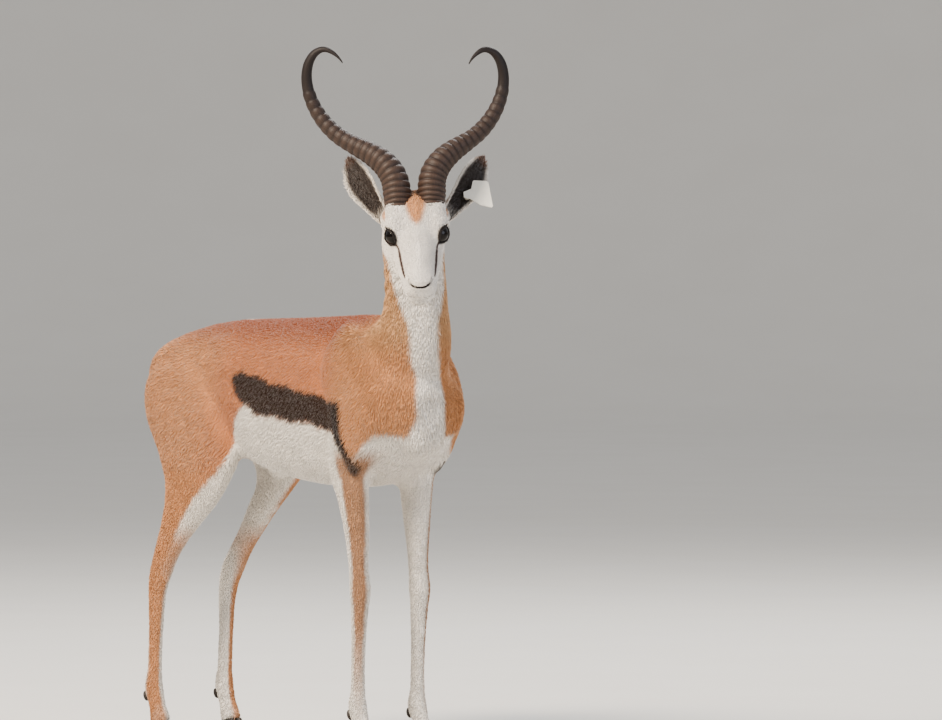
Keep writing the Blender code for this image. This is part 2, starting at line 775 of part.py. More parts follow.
def cut_mouth(head):
    """The line of the mouth, a groove that runs round the muzzle between the lips."""
    shape = bmesh.new()
    shape.from_mesh(head.data)
    tree = BVHTree.FromBMesh(shape)
    shape.free()
    path = []
    for a in np.linspace(-MOUTH_REACH, MOUTH_REACH, 25):
        angle = math.radians(a)
        course = Vector((math.cos(angle), math.sin(angle), 0.06 * abs(math.sin(angle))))
        start = head_place @ MOUTH_CENTRE
        far = start + head_place.to_3x3() @ course.normalized() * 0.12
        hit = tree.ray_cast(far, (start - far).normalized())[0]
        if hit is not None:
            path.append(hit)
    up = head_place.to_3x3() @ Vector((0, 0, 1))
    rings = []
    for i, point in enumerate(path):
        before = path[max(i - 1, 0)]
        after = path[min(i + 1, len(path) - 1)]
        along = (after - before).normalized()
        out = along.cross(up).normalized()
        end = min(i, len(path) - 1 - i) / 3
        size = MOUTH_RADIUS * (0.35 + 0.65 * min(end, 1.0))
        ring = []
        for a in np.linspace(0, 2 * math.pi, 6, endpoint=False):
            ring.append(point + out * math.cos(a) * size * 1.5 + up * math.sin(a) * size)
        rings.append(np.array(ring))
    groove = loft("mouth", rings, cutters)
    boolean(head, groove, "DIFFERENCE")
    drop(groove)


# Horns.
def horn_path(side, steps=240):
    """Points of one horn's middle line from its foot, on the upright head's axes of the left side."""
    shares, headings, leans = np.array(HORN_COURSE, float).T
    middle = (np.arange(steps) + 0.5) / steps
    heading = np.radians(np.interp(middle, shares, headings))
    lean = np.radians(np.interp(middle, shares, leans))
    step = HORN_LENGTH[side] / steps
    moves = np.stack(
        [-np.sin(lean), np.cos(lean) * np.cos(heading), np.cos(lean) * np.sin(heading)], axis=1
    )
    return np.vstack([np.zeros(3), np.cumsum(moves * step, axis=0)])


def horn_stations():
    """Shares of the length and the swell of the surface there, two stations to a ring."""
    stations = []
    edges = np.linspace(0, 1, HORN_RINGS + 1) ** HORN_RINGS_SPREAD
    edges = HORN_RINGS_FROM + (HORN_RINGS_TO - HORN_RINGS_FROM) * edges
    for i, (start, end) in enumerate(zip(edges, edges[1:])):
        fade = 1.0 - 0.55 * i / HORN_RINGS
        stations.append((start, 0.0))
        stations.append((start + 0.62 * (end - start), fade))
    for share in np.linspace(HORN_RINGS_TO, 1.0, HORN_TIP_STEPS):
        stations.append((share, 0.0))
    return stations


def horn(side):
    path = horn_path(side)
    shares = np.linspace(0, 1, len(path))
    foot = head_place @ on_head_side((HORN_MIDDLE_LOCAL.x, HORN_FOOT, HORN_MIDDLE_LOCAL.z), side)
    widths = np.array(HORN_WIDTH)
    across = Vector((0.0, 1.0, 0.0))
    rings = []
    stations = horn_stations()
    for share, swell in [(-HORN_ROOT / HORN_LENGTH[side], 0.0)] + stations:
        held = max(share, 0.0)
        here = Vector([np.interp(held, shares, path[:, k]) for k in range(3)])
        near = Vector([np.interp(min(held + 0.01, 1.0), shares, path[:, k]) for k in range(3)])
        past = Vector([np.interp(max(held - 0.01, 0.0), shares, path[:, k]) for k in range(3)])
        along = (near - past).normalized()
        here = here + along * (share - held) * HORN_LENGTH[side]
        across = (across - along * across.dot(along)).normalized()
        deep = along.cross(across)
        size = np.interp(held, widths[:, 0], widths[:, 1])
        ring = []
        for a in np.linspace(0, 2 * math.pi, HORN_SIDES, endpoint=False):
            grow = 1.0 + swell * RING_HEIGHT / size * (0.75 - 0.25 * math.sin(a))
            point = here + across * math.cos(a) * size * grow
            point = point + deep * math.sin(a) * size * HORN_DEPTH_RATIO * grow
            ring.append(foot + head_upright @ on_head_side(point, side))
        rings.append(np.array(ring))
    made = loft("horn_" + side, rings, parts)
    made.data.materials.append(horn_finish)
    return made


# Ears and the tag.
def ear_frame(side):
    """An ear's axes on the upright head: along it, out of its cup and across it."""
    rise = math.radians(EAR_RISE[side])
    lean = math.radians(EAR_LEAN[side])
    open_out = math.radians(EAR_OPEN[side])
    along = Vector((-math.sin(lean), math.cos(lean) * math.cos(rise), math.cos(lean) * math.sin(rise)))
    out = Vector((math.cos(open_out), math.sin(open_out), 0.0))
    out = (out - along * out.dot(along)).normalized()
    across = along.cross(out)
    axes = [head_upright @ on_head_side(axis, side) for axis in (along, out, across)]
    root = head_place @ on_head_side(EAR_ROOT, side)
    return root, *axes


def ear_point(side, share, arc, depth):
    """A point of the ear: share of its length, share of its wrap and depth inside its back."""
    root, along, out, across = ear_frame(side)
    leaf = np.array(EAR_LEAF)
    half = np.interp(share, leaf[:, 0], leaf[:, 1])
    wrap = math.radians(np.interp(share, leaf[:, 0], leaf[:, 2]))
    radius = half / math.sin(min(wrap, math.pi / 2))
    angle = wrap * arc
    held = max(share, 0.0)
    bend = 0.010 * math.sin(math.pi * held) - 0.012 * held**3
    base = root + along * EAR_LENGTH * share - out * (0.012 - bend)
    inner = radius - depth
    return base + out * (radius - inner * math.cos(angle)) + across * inner * math.sin(angle)


def ear(side):
    """The ear's back and the inside of its cup, split into triangles alike."""
    points = []
    rows = EAR_STEPS + 1
    columns = EAR_ARC_STEPS + 1
    for depth in (0.0, EAR_THICKNESS):
        for i in range(rows):
            share = 1 - (1 + EAR_SUNK) * (1 - i / EAR_STEPS) ** 1.15
            for j in range(columns):
                points.append(ear_point(side, share, 2 * j / EAR_ARC_STEPS - 1, depth))
    layer = rows * columns
    faces = []

    def strip(a, b, c, d):
        faces.append((a, b, c))
        faces.append((a, c, d))

    for i in range(rows - 1):
        for j in range(columns - 1):
            a = i * columns + j
            strip(a, a + 1, a + columns + 1, a + columns)
            strip(layer + a, layer + a + columns, layer + a + columns + 1, layer + a + 1)
    for i in range(rows - 1):
        for j, flip in ((0, False), (columns - 1, True)):
            a = i * columns + j
            b = a + columns
            quad = (a, b, layer + b, layer + a)
            strip(*(reversed(quad) if flip else quad))
    for j in range(columns - 1):
        for i, flip in ((0, True), (rows - 1, False)):
            a = i * columns + j
            quad = (a, a + 1, layer + a + 1, layer + a)
            strip(*(reversed(quad) if flip else quad))
    made = mesh_object("ear_" + side, points, faces, parts)
    face_out(made)
    made.data.materials.append(white_fur)
    return made


def ear_tag(ear_node):
    """The flag stands out in front of the ear's rim from a boss; the stud's button is behind."""
    side = "left"
    root, along, out, across = ear_frame(side)
    leaf = np.array(EAR_LEAF)
    angle = math.radians(np.interp(TAG_SHARE, leaf[:, 0], leaf[:, 2])) * TAG_ARC
    inward = (out * math.cos(angle) - across * math.sin(angle)).normalized()
    turn = inward.to_track_quat("Z", "Y").to_matrix().to_4x4()
    wall = ear_point(side, TAG_SHARE, TAG_ARC, EAR_THICKNESS / 2)
    pieces = []
    for name, height in (("ear_tag", STUD_HEIGHT), ("ear_tag_stud", -STUD_BACK)):
        shape = bmesh.new()
        bmesh.ops.create_cone(
            shape,
            cap_ends=True,
            segments=12,
            radius1=STUD_RADIUS,
            radius2=STUD_RADIUS,
            depth=abs(height),
            matrix=Matrix.Translation(wall + inward * height / 2) @ turn,
        )
        mesh = bpy.data.meshes.new(name)
        shape.to_mesh(mesh)
        shape.free()
        made = bpy.data.objects.new(name, mesh)
        parts.objects.link(made)
        pieces.append(made)
    face = (out - across * TAG_FACE).normalized()
    flag = tag_flag(wall + inward * STUD_HEIGHT, face)
    boolean(pieces[0], flag, "UNION")
    drop(flag)
    for piece in pieces:
        cut_clear(piece, ear_node)
    pieces[0].data.materials.append(tag_finish)
    pieces[1].data.materials.append(stud_finish)


def tag_flag(boss, normal):
    """The flag's plate, with a neck round its boss, running out from the head."""
    course = head_upright @ Vector((0.0, 1.0, 0.0))
    course = (course - normal * course.dot(normal)).normalized()
    up = normal.cross(course)
    up = up if up.z > 0 else -up
    rings = []
    for wall in (0.0, TAG_THICKNESS):
        lift = normal * (wall - TAG_THICKNESS / 2)
        rings.append(np.array([boss + course * x + up * y + lift for x, y in TAG_OUTLINE]))
    return loft("flag", rings, cutters)


# Tail, hooves and dewclaws.
def tail():
    dock = [(0.0, y, z, half, half * 0.85) for y, z, half in TAIL]
    made = loft("tail", limb_rings(dock, 14), parts)
    decimate(made, 420)
    made.data.materials.append(white_fur)
    return made


def tail_tuft():
    """Black hair below the dock: a short core with tapered locks rooted round it."""
    y = TAIL[-1][0]
    core_rows = (
        (0.0, y, TUFT_TOP, 0.0070, 0.0065),
        (0.0, y, TUFT_TOP - 0.010, 0.0105, 0.0100),
        (0.0, y - 0.001, TUFT_TOP - 0.028, 0.0100, 0.0095),
        (0.0, y - 0.002, TUFT_TOP - 0.046, 0.0040, 0.0040),
    )
    made = loft("tail_tuft", limb_rings(core_rows, 10)[::3], parts)
    group = collection("tuft locks")
    for i in range(TUFT_LOCKS):
        angle = 2 * math.pi * i / TUFT_LOCKS * 2.382
        drop_share = i / TUFT_LOCKS
        root = Vector((0.0, y, TUFT_TOP - 0.008 - 0.022 * drop_share))
        course = Vector((math.cos(angle) * 0.20, math.sin(angle) * 0.20, -1.0))
        root = root + Vector((math.cos(angle), math.sin(angle), 0)) * 0.0045
        length = TUFT_LENGTH * (0.62 + 0.30 * ((i * 0.618) % 1.0))
        loft("lock", lock_rings(root, course, length, 0.0085, 0.0050, 0.10), group)
    modifier = made.modifiers.new("locks", "BOOLEAN")
    modifier.operation = "UNION"
    modifier.operand_type = "COLLECTION"
    modifier.collection = group
    apply(made, modifier)
    drop(*group.objects)
    bpy.data.collections.remove(group)
    keep_largest(made)
    made.data.materials.append(black_hair)
    return made


def hoof_top(y):
    """Height of the coronet at a distance behind the middle of the foot."""
    share = (y + HOOF_TOE) / (HOOF_TOE + HOOF_HEEL)
    return HOOF_TOP_FRONT + (HOOF_TOP_HEEL - HOOF_TOP_FRONT) * share


def claw_ring(height, toe, heel, width, side):
    """The outline of one claw: flat towards its twin, bowed outwards, pointed at the toe."""
    ring = []
    for a in np.linspace(0, 2 * math.pi, HOOF_SIDES, endpoint=False):
        along = math.cos(a)
        bow = math.sin(a)
        y = -along * toe if along > 0 else -along * heel
        lean = 1 - 0.55 * max(along, 0.0) ** 1.6
        x = width * (0.5 + 0.5 * bow * lean) if bow > 0 else width * (0.5 + 0.5 * bow)
        x = HOOF_SPLIT + max(x, 0.0)
        ring.append((side * x, y, height))
    return ring


def hoof(name, foot, side, group):
    rings = []
    for share, toe, heel, spread in HOOF_RINGS:
        ring = claw_ring(0.0, toe, heel, HOOF_WIDTH, side)
        lifted = [foot + Vector((x * spread, y, share * hoof_top(y))) for x, y, _ in ring]
        rings.append(np.array(lifted))
    made = loft(name, rings, group)
    made.data.materials.append(hoof_finish)
    return made


def trim_leg(leg, foot):
    """Ends a leg at the sloping coronet, just above its hooves."""
    slope = (HOOF_TOP_HEEL - HOOF_TOP_FRONT) / (HOOF_TOE + HOOF_HEEL)
    down = Vector((0.0, slope, -1.0)).normalized()
    block = region("sole", [(foot + Vector((0, 0, hoof_top(0.0) + GAP)), down)], 0.0)
    boolean(leg, block, "INTERSECT")
    drop(block)
    keep_largest(leg)


def feet(leg, foot, name):
    trim_leg(leg, foot)
    for side, word in ((1, "left"), (-1, "right")):
        hoof("hoof_" + name + "_" + word, foot, side, parts)
        centre = foot + Vector((side * 0.0090, 0.0375, 0.0730))
        turn = Matrix.Translation(centre) @ Matrix.Rotation(math.radians(-24), 4, "X")
        claw = ellipsoid(
            "dewclaw_" + name + "_" + word, (0, 0, 0), DEWCLAW_RADII, parts, turn, 7, 5
        )
        cut_clear(claw, leg)
        claw.data.materials.append(hoof_finish)


clear_scene()
parts = collection("springbok")
cutters = collection("cutters")
tan_fur = material("tan fur", FUR_TAN, 0.85)
white_fur = material("white fur", FUR_WHITE, 0.85)
black_hair = material("black tail hair", HAIR_BLACK, 0.7)
horn_finish = material("horn", HORN_BROWN, 0.55)
hoof_finish = material("hoof", HOOF_BLACK, 0.45)
eye_finish = material("eye", EYE_DARK, 0.1)
tag_finish = material("ear tag", TAG_WHITE, 0.5)
stud_finish = material("tag stud", STUD_DARK, 0.5)

head_place, head_upright = head_matrix()
head_joint = (head_place @ HEAD_JOINT_LOCAL[0], head_place.to_3x3() @ HEAD_JOINT_LOCAL[1])
forms = collection("forms")
flesh_pieces(forms)
body = fuse(forms, "body")
keep_largest(body)
fill_creases(body, CREASE_ROUNDS, CREASE_SHRINK)

leg_regions = {}
for side in ("left", "right"):
    leg_regions["foreleg_" + side] = side_planes(FORELEG_PLANES, side)
    leg_regions["hindleg_" + side] = side_planes(HINDLEG_PLANES, side)

head = body_node("head", [opposite(head_joint)], 2850, white_fur)
neck = body_node("neck", [head_joint, opposite(NECK_JOINT)], 560, tan_fur)
torso = body_node("torso", [NECK_JOINT], 1950, tan_fur, list(leg_regions.values()))
legs = {}
for name, planes in leg_regions.items():
    legs[name] = body_node(name, planes, 740, tan_fur)
drop(body)
bpy.data.collections.remove(forms)

for side in ("left", "right"):
    cut_eye(head, side)
    cut_nostril(head, side)
    eye_ball(side)
cut_mouth(head)
keep_largest(head)

horns = {}
ears = {}
for side in ("left", "right"):
    horns[side] = horn(side)
    cut_clear(horns[side], head)
    ears[side] = ear(side)
    cut_clear(ears[side], head, horns[side])
ear_tag(ears["left"])

dock = tail()
cut_clear(dock, torso)
tail_tuft()

for name, leg in legs.items():
    side = name.rpartition("_")[2]
    end = fore_rows(side)[-1] if name.startswith("fore") else hind_rows(side)[-1]
    feet(leg, Vector((end[0], end[1], 0.0)), name)

for obj in parts.objects:
    obj.data.transform(Matrix.Translation((*PLAN_SHIFT, 0.0)))
    obj.data.shade_smooth()
    obj.data.set_sharp_from_angle(angle=math.radians(40))
    obj.data.update()
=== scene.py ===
"""Looks of a life-size springbok ram, standing still with its head turned to its right.

Metres, +Z up. The ram faces -Y, so its right side is at -X. Places on the body are given about the
forelegs, which stand at zero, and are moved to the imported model's place in the plan.
"""

import math

import bmesh
import bpy
import numpy as np
from mathutils import Matrix, Vector


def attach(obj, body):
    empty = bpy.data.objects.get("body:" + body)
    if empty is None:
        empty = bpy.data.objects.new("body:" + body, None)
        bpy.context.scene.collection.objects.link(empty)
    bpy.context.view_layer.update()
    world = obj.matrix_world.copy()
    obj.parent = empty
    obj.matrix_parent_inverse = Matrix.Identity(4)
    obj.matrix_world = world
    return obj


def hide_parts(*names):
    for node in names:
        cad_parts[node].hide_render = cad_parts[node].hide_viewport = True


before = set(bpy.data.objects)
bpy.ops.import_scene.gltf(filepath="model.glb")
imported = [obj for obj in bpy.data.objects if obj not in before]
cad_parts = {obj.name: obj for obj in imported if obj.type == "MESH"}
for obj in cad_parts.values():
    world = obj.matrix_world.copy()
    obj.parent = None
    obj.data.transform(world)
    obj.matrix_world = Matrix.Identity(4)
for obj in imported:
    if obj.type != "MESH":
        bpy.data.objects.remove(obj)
bpy.ops.object.select_all(action="DESELECT")
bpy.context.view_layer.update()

# The camera. It stands level with the ram's head and sixteen metres off its right shoulder, with a
# long lens, so that the ram fills the frame from its horn tips to just above its hooves.
plan = Vector((0.0069, -0.2587, 0.0))
camera_distance = 16.0
camera_height = 1.08
picture_width = 942
focal_length = 9280  # in pixels of the picture
eye_line, picture_middle = 135, 360
aim = math.radians(-31)
towards_camera = Vector((math.sin(aim), -math.cos(aim), 0))
camera_right = Vector((math.cos(aim), math.sin(aim), 0))
stand = Vector((0, -0.14, camera_height)) + plan + camera_right * 0.0707
stand = stand + towards_camera * camera_distance
dip = math.atan((picture_middle - eye_line) / focal_length)
gaze = -towards_camera * math.cos(dip) - Vector((0, 0, math.sin(dip)))
bpy.ops.object.camera_add(location=stand, rotation=gaze.to_track_quat("-Z", "Y").to_euler())
camera = bpy.context.object
camera.name = "camera"
camera.data.sensor_width = 36
camera.data.lens = camera.data.sensor_width * focal_length / picture_width
camera.data.clip_end = 120
bpy.context.scene.camera = camera


# The floor and backdrop. A round studio cove of pale painted board, whose floor sweeps up into a wall
# far behind the ram on every side, so that no edge or horizon shows from any angle.
def linear(code):
    """An sRGB hex colour as linear red, green, blue and alpha."""
    parts = [int(code[i : i + 2], 16) / 255 for i in (1, 3, 5)]
    return (*[c / 12.92 if c <= 0.04045 else ((c + 0.055) / 1.055) ** 2.4 for c in parts], 1.0)


def add(tree, kind, settings=None, inputs=None, links=None):
    """Adds a shader node with its settings, its socket values and the sockets that feed it."""
    node = tree.nodes.new(kind)
    for key, value in (settings or {}).items():
        setattr(node, key, value)
    for key, value in (inputs or {}).items():
        node.inputs[key].default_value = value
    for key, source in (links or {}).items():
        tree.links.new(source, node.inputs[key])
    return node


def new_material(name, inputs):
    """A material with the given values on its Principled shader, its node tree and the shader."""
    made = bpy.data.materials.new(name)
    made.use_nodes = True
    shader = made.node_tree.nodes["Principled BSDF"]
    for key, value in inputs.items():
        shader.inputs[key].default_value = value
    return made, made.node_tree, shader


def speckle(tree, scale, detail):
    """A noise pattern in the piece's own space, as a socket. The scale is in cycles to the metre."""
    place = add(tree, "ShaderNodeTexCoord").outputs["Object"]
    noise = add(tree, "ShaderNodeTexNoise", None, {"Scale": scale, "Detail": detail}, {"Vector": place})
    return noise.outputs["Fac"]


def two_tones(tree, shader, pattern, low, high):
    """Makes the base colour run from one colour to another with a pattern."""
    mixed = add(tree, "ShaderNodeMix", {"data_type": "RGBA"}, None, {"Factor": pattern})
    mixed.inputs["A"].default_value = low
    mixed.inputs["B"].default_value = high
    tree.links.new(mixed.outputs["Result"], shader.inputs["Base Color"])


def relief(tree, shader, pattern, strength, distance):
    """Bumps the surface with a pattern, by a distance in metres."""
    sizes = {"Strength": strength, "Distance": distance}
    raised = add(tree, "ShaderNodeBump", None, sizes, {"Height": pattern})
    tree.links.new(raised.outputs["Normal"], shader.inputs["Normal"])


def show(name, mesh):
    """Puts a mesh in the scene as a piece of its own."""
    made = bpy.data.objects.new(name, mesh)
    bpy.context.collection.objects.link(made)
    return made


floor_radius = 18.0
sweep_radius = 5.0
cove = bmesh.new()
section = [(0.0, 0.0), (floor_radius / 2, 0.0), (floor_radius, 0.0)]
for t in np.linspace(0.1, math.pi / 2, 14):
    section.append((floor_radius + sweep_radius * math.sin(t), sweep_radius * (1 - math.cos(t))))
profile = [cove.verts.new((r, 0, z)) for r, z in section]
bmesh.ops.spin(
    cove,
    geom=profile + [cove.edges.new(pair) for pair in zip(profile, profile[1:])],
    cent=(0, 0, 0),
    axis=(0, 0, 1),
    angle=2 * math.pi,
    steps=64,
)
bmesh.ops.remove_doubles(cove, verts=cove.verts, dist=1e-4)
bmesh.ops.recalc_face_normals(cove, faces=cove.faces)
cove_mesh = bpy.data.meshes.new("studio_cove")
cove.to_mesh(cove_mesh)
cove.free()
cove_mesh.shade_smooth()
studio = show("studio_cove", cove_mesh)
# Matt paint: pale warm grey, with a faint roller mottle so that it doesn't look like empty space.
paint, tree, shader = new_material("matt studio paint", {"Roughness": 0.9})
two_tones(tree, shader, speckle(tree, 3.0, 4.0), linear("#D9D5CE"), linear("#DEDBD5"))
cove_mesh.materials.append(paint)

# The light. A large warm key high on the picture's left and towards the camera, as the sun stood, a
# broad cool fill from the right, a soft light from behind for the outline, and a pale surround.
centre = Vector((0, 0, 0.7))
for name, place, watts, size, colour in (
    ("key", towards_camera * 3.6 - camera_right * 4.2 + Vector((0, 0, 4.2)), 760, 2.4, "#FFF1DF"),
    ("fill", towards_camera * 4.2 + camera_right * 4.4 + Vector((0, 0, 1.6)), 110, 4.0, "#EAF1FF"),
    ("back", -towards_camera * 4.0 + camera_right * 1.5 + Vector((0, 0, 4.4)), 240, 3.0, "#FFFFFF"),
):
    bpy.ops.object.light_add(
        type="AREA", location=centre + place, rotation=(-place).to_track_quat("-Z", "Y").to_euler()
    )
    lamp = bpy.context.object
    lamp.name = name
    lamp.data.energy = watts
    lamp.data.shape = "DISK"
    lamp.data.size = size
    lamp.data.color = linear(colour)[:3]
surround = bpy.data.worlds.new("surround")
surround.use_nodes = True
surround.node_tree.nodes["Background"].inputs["Color"].default_value = linear("#F2F4F8")
surround.node_tree.nodes["Background"].inputs["Strength"].default_value = 0.62
bpy.context.scene.world = surround
bpy.context.scene.view_settings.look = "AgX - Medium High Contrast"
bpy.ops.object.select_all(action="DESELECT")


# The skin. The hide of trunk, neck, head and legs as one piece, under the coat by the coat's depth.
# It is the solids fused, relaxed and drawn in, with lids, nostrils, lips and folds shaped into it.
def read(items, name, width, kind=float):
    """One property of every item of a mesh, as rows of numbers."""
    values = np.empty(len(items) * width, kind)
    items.foreach_get(name, values)
    return values.reshape(-1, width)


def ramp(low, high, values):
    """0 below low and 1 above high, with a smooth rise between, or the fall if high is lower."""
    share = np.clip((values - low) / (high - low), 0, 1)
    return share * share * (3 - 2 * share)


def axes(row):
    """Directions as the rows of an array."""
    return np.array([list(v) for v in row])


def head_frame():
    """The skull's origin, its axes (to the nose, to the ram's left, to the brow) and the level axes."""
    yaw, pitch, roll = (math.radians(v) for v in (29.6, 37.0, 3.0))
    forward = Matrix.Rotation(-yaw, 3, "Z") @ Vector((0, -1, 0))
    left = Matrix.Rotation(-yaw, 3, "Z") @ Vector((1, 0, 0))
    up = Vector((0, 0, 1))
    nose = forward * math.cos(pitch) - up * math.sin(pitch)
    brow = forward * math.sin(pitch) + up * math.cos(pitch)
    lean = Matrix.Rotation(roll, 3, forward)
    skull = axes([lean @ v for v in (nose, left, brow)])
    level = axes([lean @ v for v in (forward, left, up)])
    origin = np.array([-0.0340, -0.1444, 0.9834]) + plan - np.array([0.034, 0.0, 0.052]) @ skull
    return origin, skull, level


skull_origin, skull_axes, level_axes = head_frame()


def on_skull(points):
    """Places in the frame as distance to the nose, to the ram's left and to the brow."""
    return (points - skull_origin) @ skull_axes.T


def from_skull(points):
    """Places on the skull's axes as places in the frame."""
    return np.asarray(points) @ skull_axes + skull_origin


EYE = np.array([0.104, 0.0368, 0.0115])
EYE_RADIUS = 0.0180
LID_LENGTH = 0.0160
LID_HEIGHT = 0.0124


def eye_axes(side):
    """The slit between the lids, the way up it and the way out of the ball, on the skull's axes."""
    out = Vector((0.64, 0.74 * side, 0.20)).normalized()
    slope = math.radians(18)
    slit = Vector((math.cos(slope), 0.0, -math.sin(slope)))
    slit = (slit - out * slit.dot(out)).normalized()
    up = out.cross(slit)
    return axes([slit, up if up.z > 0 else -up, out])


def lid_distance(skull):
    """How far a place is outside the slit between the lids, and its offset from the eye's middle."""
    side = np.where(skull[:, 1] >= 0, 1, -1)
    mirrored = skull * np.stack([np.ones(len(side)), side, np.ones(len(side))], 1)
    offset = mirrored - EYE
    slit, up, out = (offset @ axis for axis in eye_axes(1))
    along = slit / LID_LENGTH
    half = LID_HEIGHT * np.sqrt(np.clip(1 - along**2, 0, 1)) * (1 - 0.35 * along**2)
    past = np.hypot(np.abs(slit) - LID_LENGTH, up)
    edge = np.where(np.abs(along) < 1, np.abs(up) - half, past)
    return np.where(out > 0.004, edge, 0.02), offset, side, slit, up


def near_path(points, path):
    """Distance from a broken line, and the share of the line at the nearest place."""
    best = np.full(len(points), 1.0)
    share = np.zeros(len(points))
    path = np.array(path, float)
    for i in range(len(path) - 1):
        step = path[i + 1] - path[i]
        along = np.clip(((points - path[i]) @ step) / (step @ step), 0, 1)
        away = np.linalg.norm(points - path[i] - along[:, None] * step, axis=1)
        closer = away < best
        best = np.where(closer, away, best)
        share = np.where(closer, (i + along) / (len(path) - 1), share)
    return best, share


def mirrored_left(skull):
    """Places of both halves of the head as if on its left half."""
    return np.stack([skull[:, 0], np.abs(skull[:, 1]), skull[:, 2]], 1)


# Lines on the left half of the face, as distance to the nose, to the left and to the brow.
NOSTRIL_LINE = (
    (0.2090, 0.0206, -0.0030),
    (0.2112, 0.0212, -0.0058),
    (0.2150, 0.0186, -0.0066),
    (0.2200, 0.0120, -0.0103),
    (0.2227, 0.0000, -0.0125),
)
FACE_STRIPE = (
    (0.1225, 0.0385, 0.0080),
    (0.1270, 0.0360, 0.0068),
    (0.1440, 0.0338, 0.0010),
    (0.1570, 0.0325, -0.0040),
    (0.1760, 0.0300, -0.0070),
    (0.1970, 0.0268, -0.0085),
)


LIP_LINE = ((0.160, -0.0335), (0.190, -0.0360), (0.207, -0.0375), (0.216, -0.0380), (0.2205, -0.0388))


def table(rows, at):
    """A smooth quantity read from pairs of place and value."""
    places, values = np.array(rows, float).T
    return np.interp(at, places, values)


def lip_line(u):
    """Height of the line between the lips at a distance towards the nose."""
    return table(LIP_LINE, u)


def blend(base, colour, share):
    """Colours moved towards another by a share for each point."""
    return base + (np.array(colour) - base) * share[:, None]


# The pattern's edges on the flank, breast and thigh: place behind the forelegs and height.
BAND_TOP = (
    (-0.030, 0.6185),
    (0.070, 0.6294),
    (0.137, 0.6390),
    (0.238, 0.6528),
    (0.3275, 0.6690),
    (0.356, 0.655),
)
BAND_LOW = (
    (-0.030, 0.5200),
    (-0.017, 0.5460),
    (0.002, 0.5680),
    (0.084, 0.5793),
    (0.195, 0.5880),
    (0.264, 0.5952),
    (0.301, 0.6080),
    (0.332, 0.6255),
    (0.3515, 0.6434),
    (0.357, 0.6550),
)
THIGH_EDGE = (
    (0.300, 0.6080),
    (0.332, 0.5935),
    (0.347, 0.5790),
    (0.368, 0.5556),
    (0.386, 0.5320),
    (0.394, 0.5090),
    (0.4145, 0.4900),
    (0.455, 0.4610),
    (0.500, 0.4270),
    (0.560, 0.3750),
    (0.620, 0.3100),
    (0.650, 0.0000),
)
BREAST_EDGE = ((-0.142, 0.560), (-0.110, 0.566), (-0.084, 0.561), (-0.075, 0.554), (-0.030, 0.512))
ELBOW_LINE = ((-0.012, 0.600), (-0.014, 0.568), (-0.026, 0.540), (-0.034, 0.512), (-0.030, 0.485))
# Middle lines of legs, neck and throat stripe by height, in metres or in degrees round the neck.
HIND_MIDDLE_LEFT = (
    (0.300, 0.053),
    (0.330, 0.056),
    (0.370, 0.061),
    (0.410, 0.066),
    (0.460, 0.078),
    (0.515, 0.086),
)
HIND_MIDDLE_RIGHT = 0.0935
FORE_MIDDLE_X = ((0.30, 0.060), (0.395, 0.061), (0.455, 0.064), (0.505, 0.070), (0.56, 0.080))
FORE_MIDDLE_Y = (
    (0.0, -0.02),
    (0.060, -0.008),
    (0.12, 0.004),
    (0.26, -0.002),
    (0.33, 0.001),
    (0.395, 0.006),
    (0.455, 0.014),
    (0.52, 0.014),
)
NECK_MIDDLE_X = 0.003
NECK_MIDDLE_Y = ((0.60, 0.0), (0.66, -0.03), (0.70, -0.045), (0.76, -0.075), (0.80, -0.088), (0.85, -0.087))
THROAT_MIDDLE = ((0.60, 0), (0.66, 0), (0.706, -10), (0.763, -17), (0.80, -23), (0.86, -28))
THROAT_HALF = (
    (0.50, 26),
    (0.56, 17),
    (0.60, 11),
    (0.66, 14),
    (0.706, 14.5),
    (0.74, 16),
    (0.763, 19.5),
    (0.78, 27),
    (0.80, 38),
    (0.83, 52),
    (0.86, 60),
    (0.90, 62),
)
THROAT_SOFTNESS = ((0.60, 2.5), (0.75, 4), (0.86, 9))
BROW_PATCH_HALF = (
    (0.02, 0.030),
    (0.05, 0.0225),
    (0.06, 0.021),
    (0.083, 0.0155),
    (0.105, 0.008),
    (0.114, 0.001),
)
FACE_STRIPE_HALF = ((0, 0.0018), (0.25, 0.0020), (0.45, 0.0038), (0.85, 0.0040), (1, 0.0018))
# Heights that keep the head's markings and shaping off the body, and those of eyes and brow off the jaw.
HEAD_FROM = 0.80
CROWN_FROM = 0.85


def past_throat(skull):
    """How far a place is on the head's side of the cut between head and neck."""
    return skull[:, 2] - 0.05 * (skull[:, 0] - 0.075)


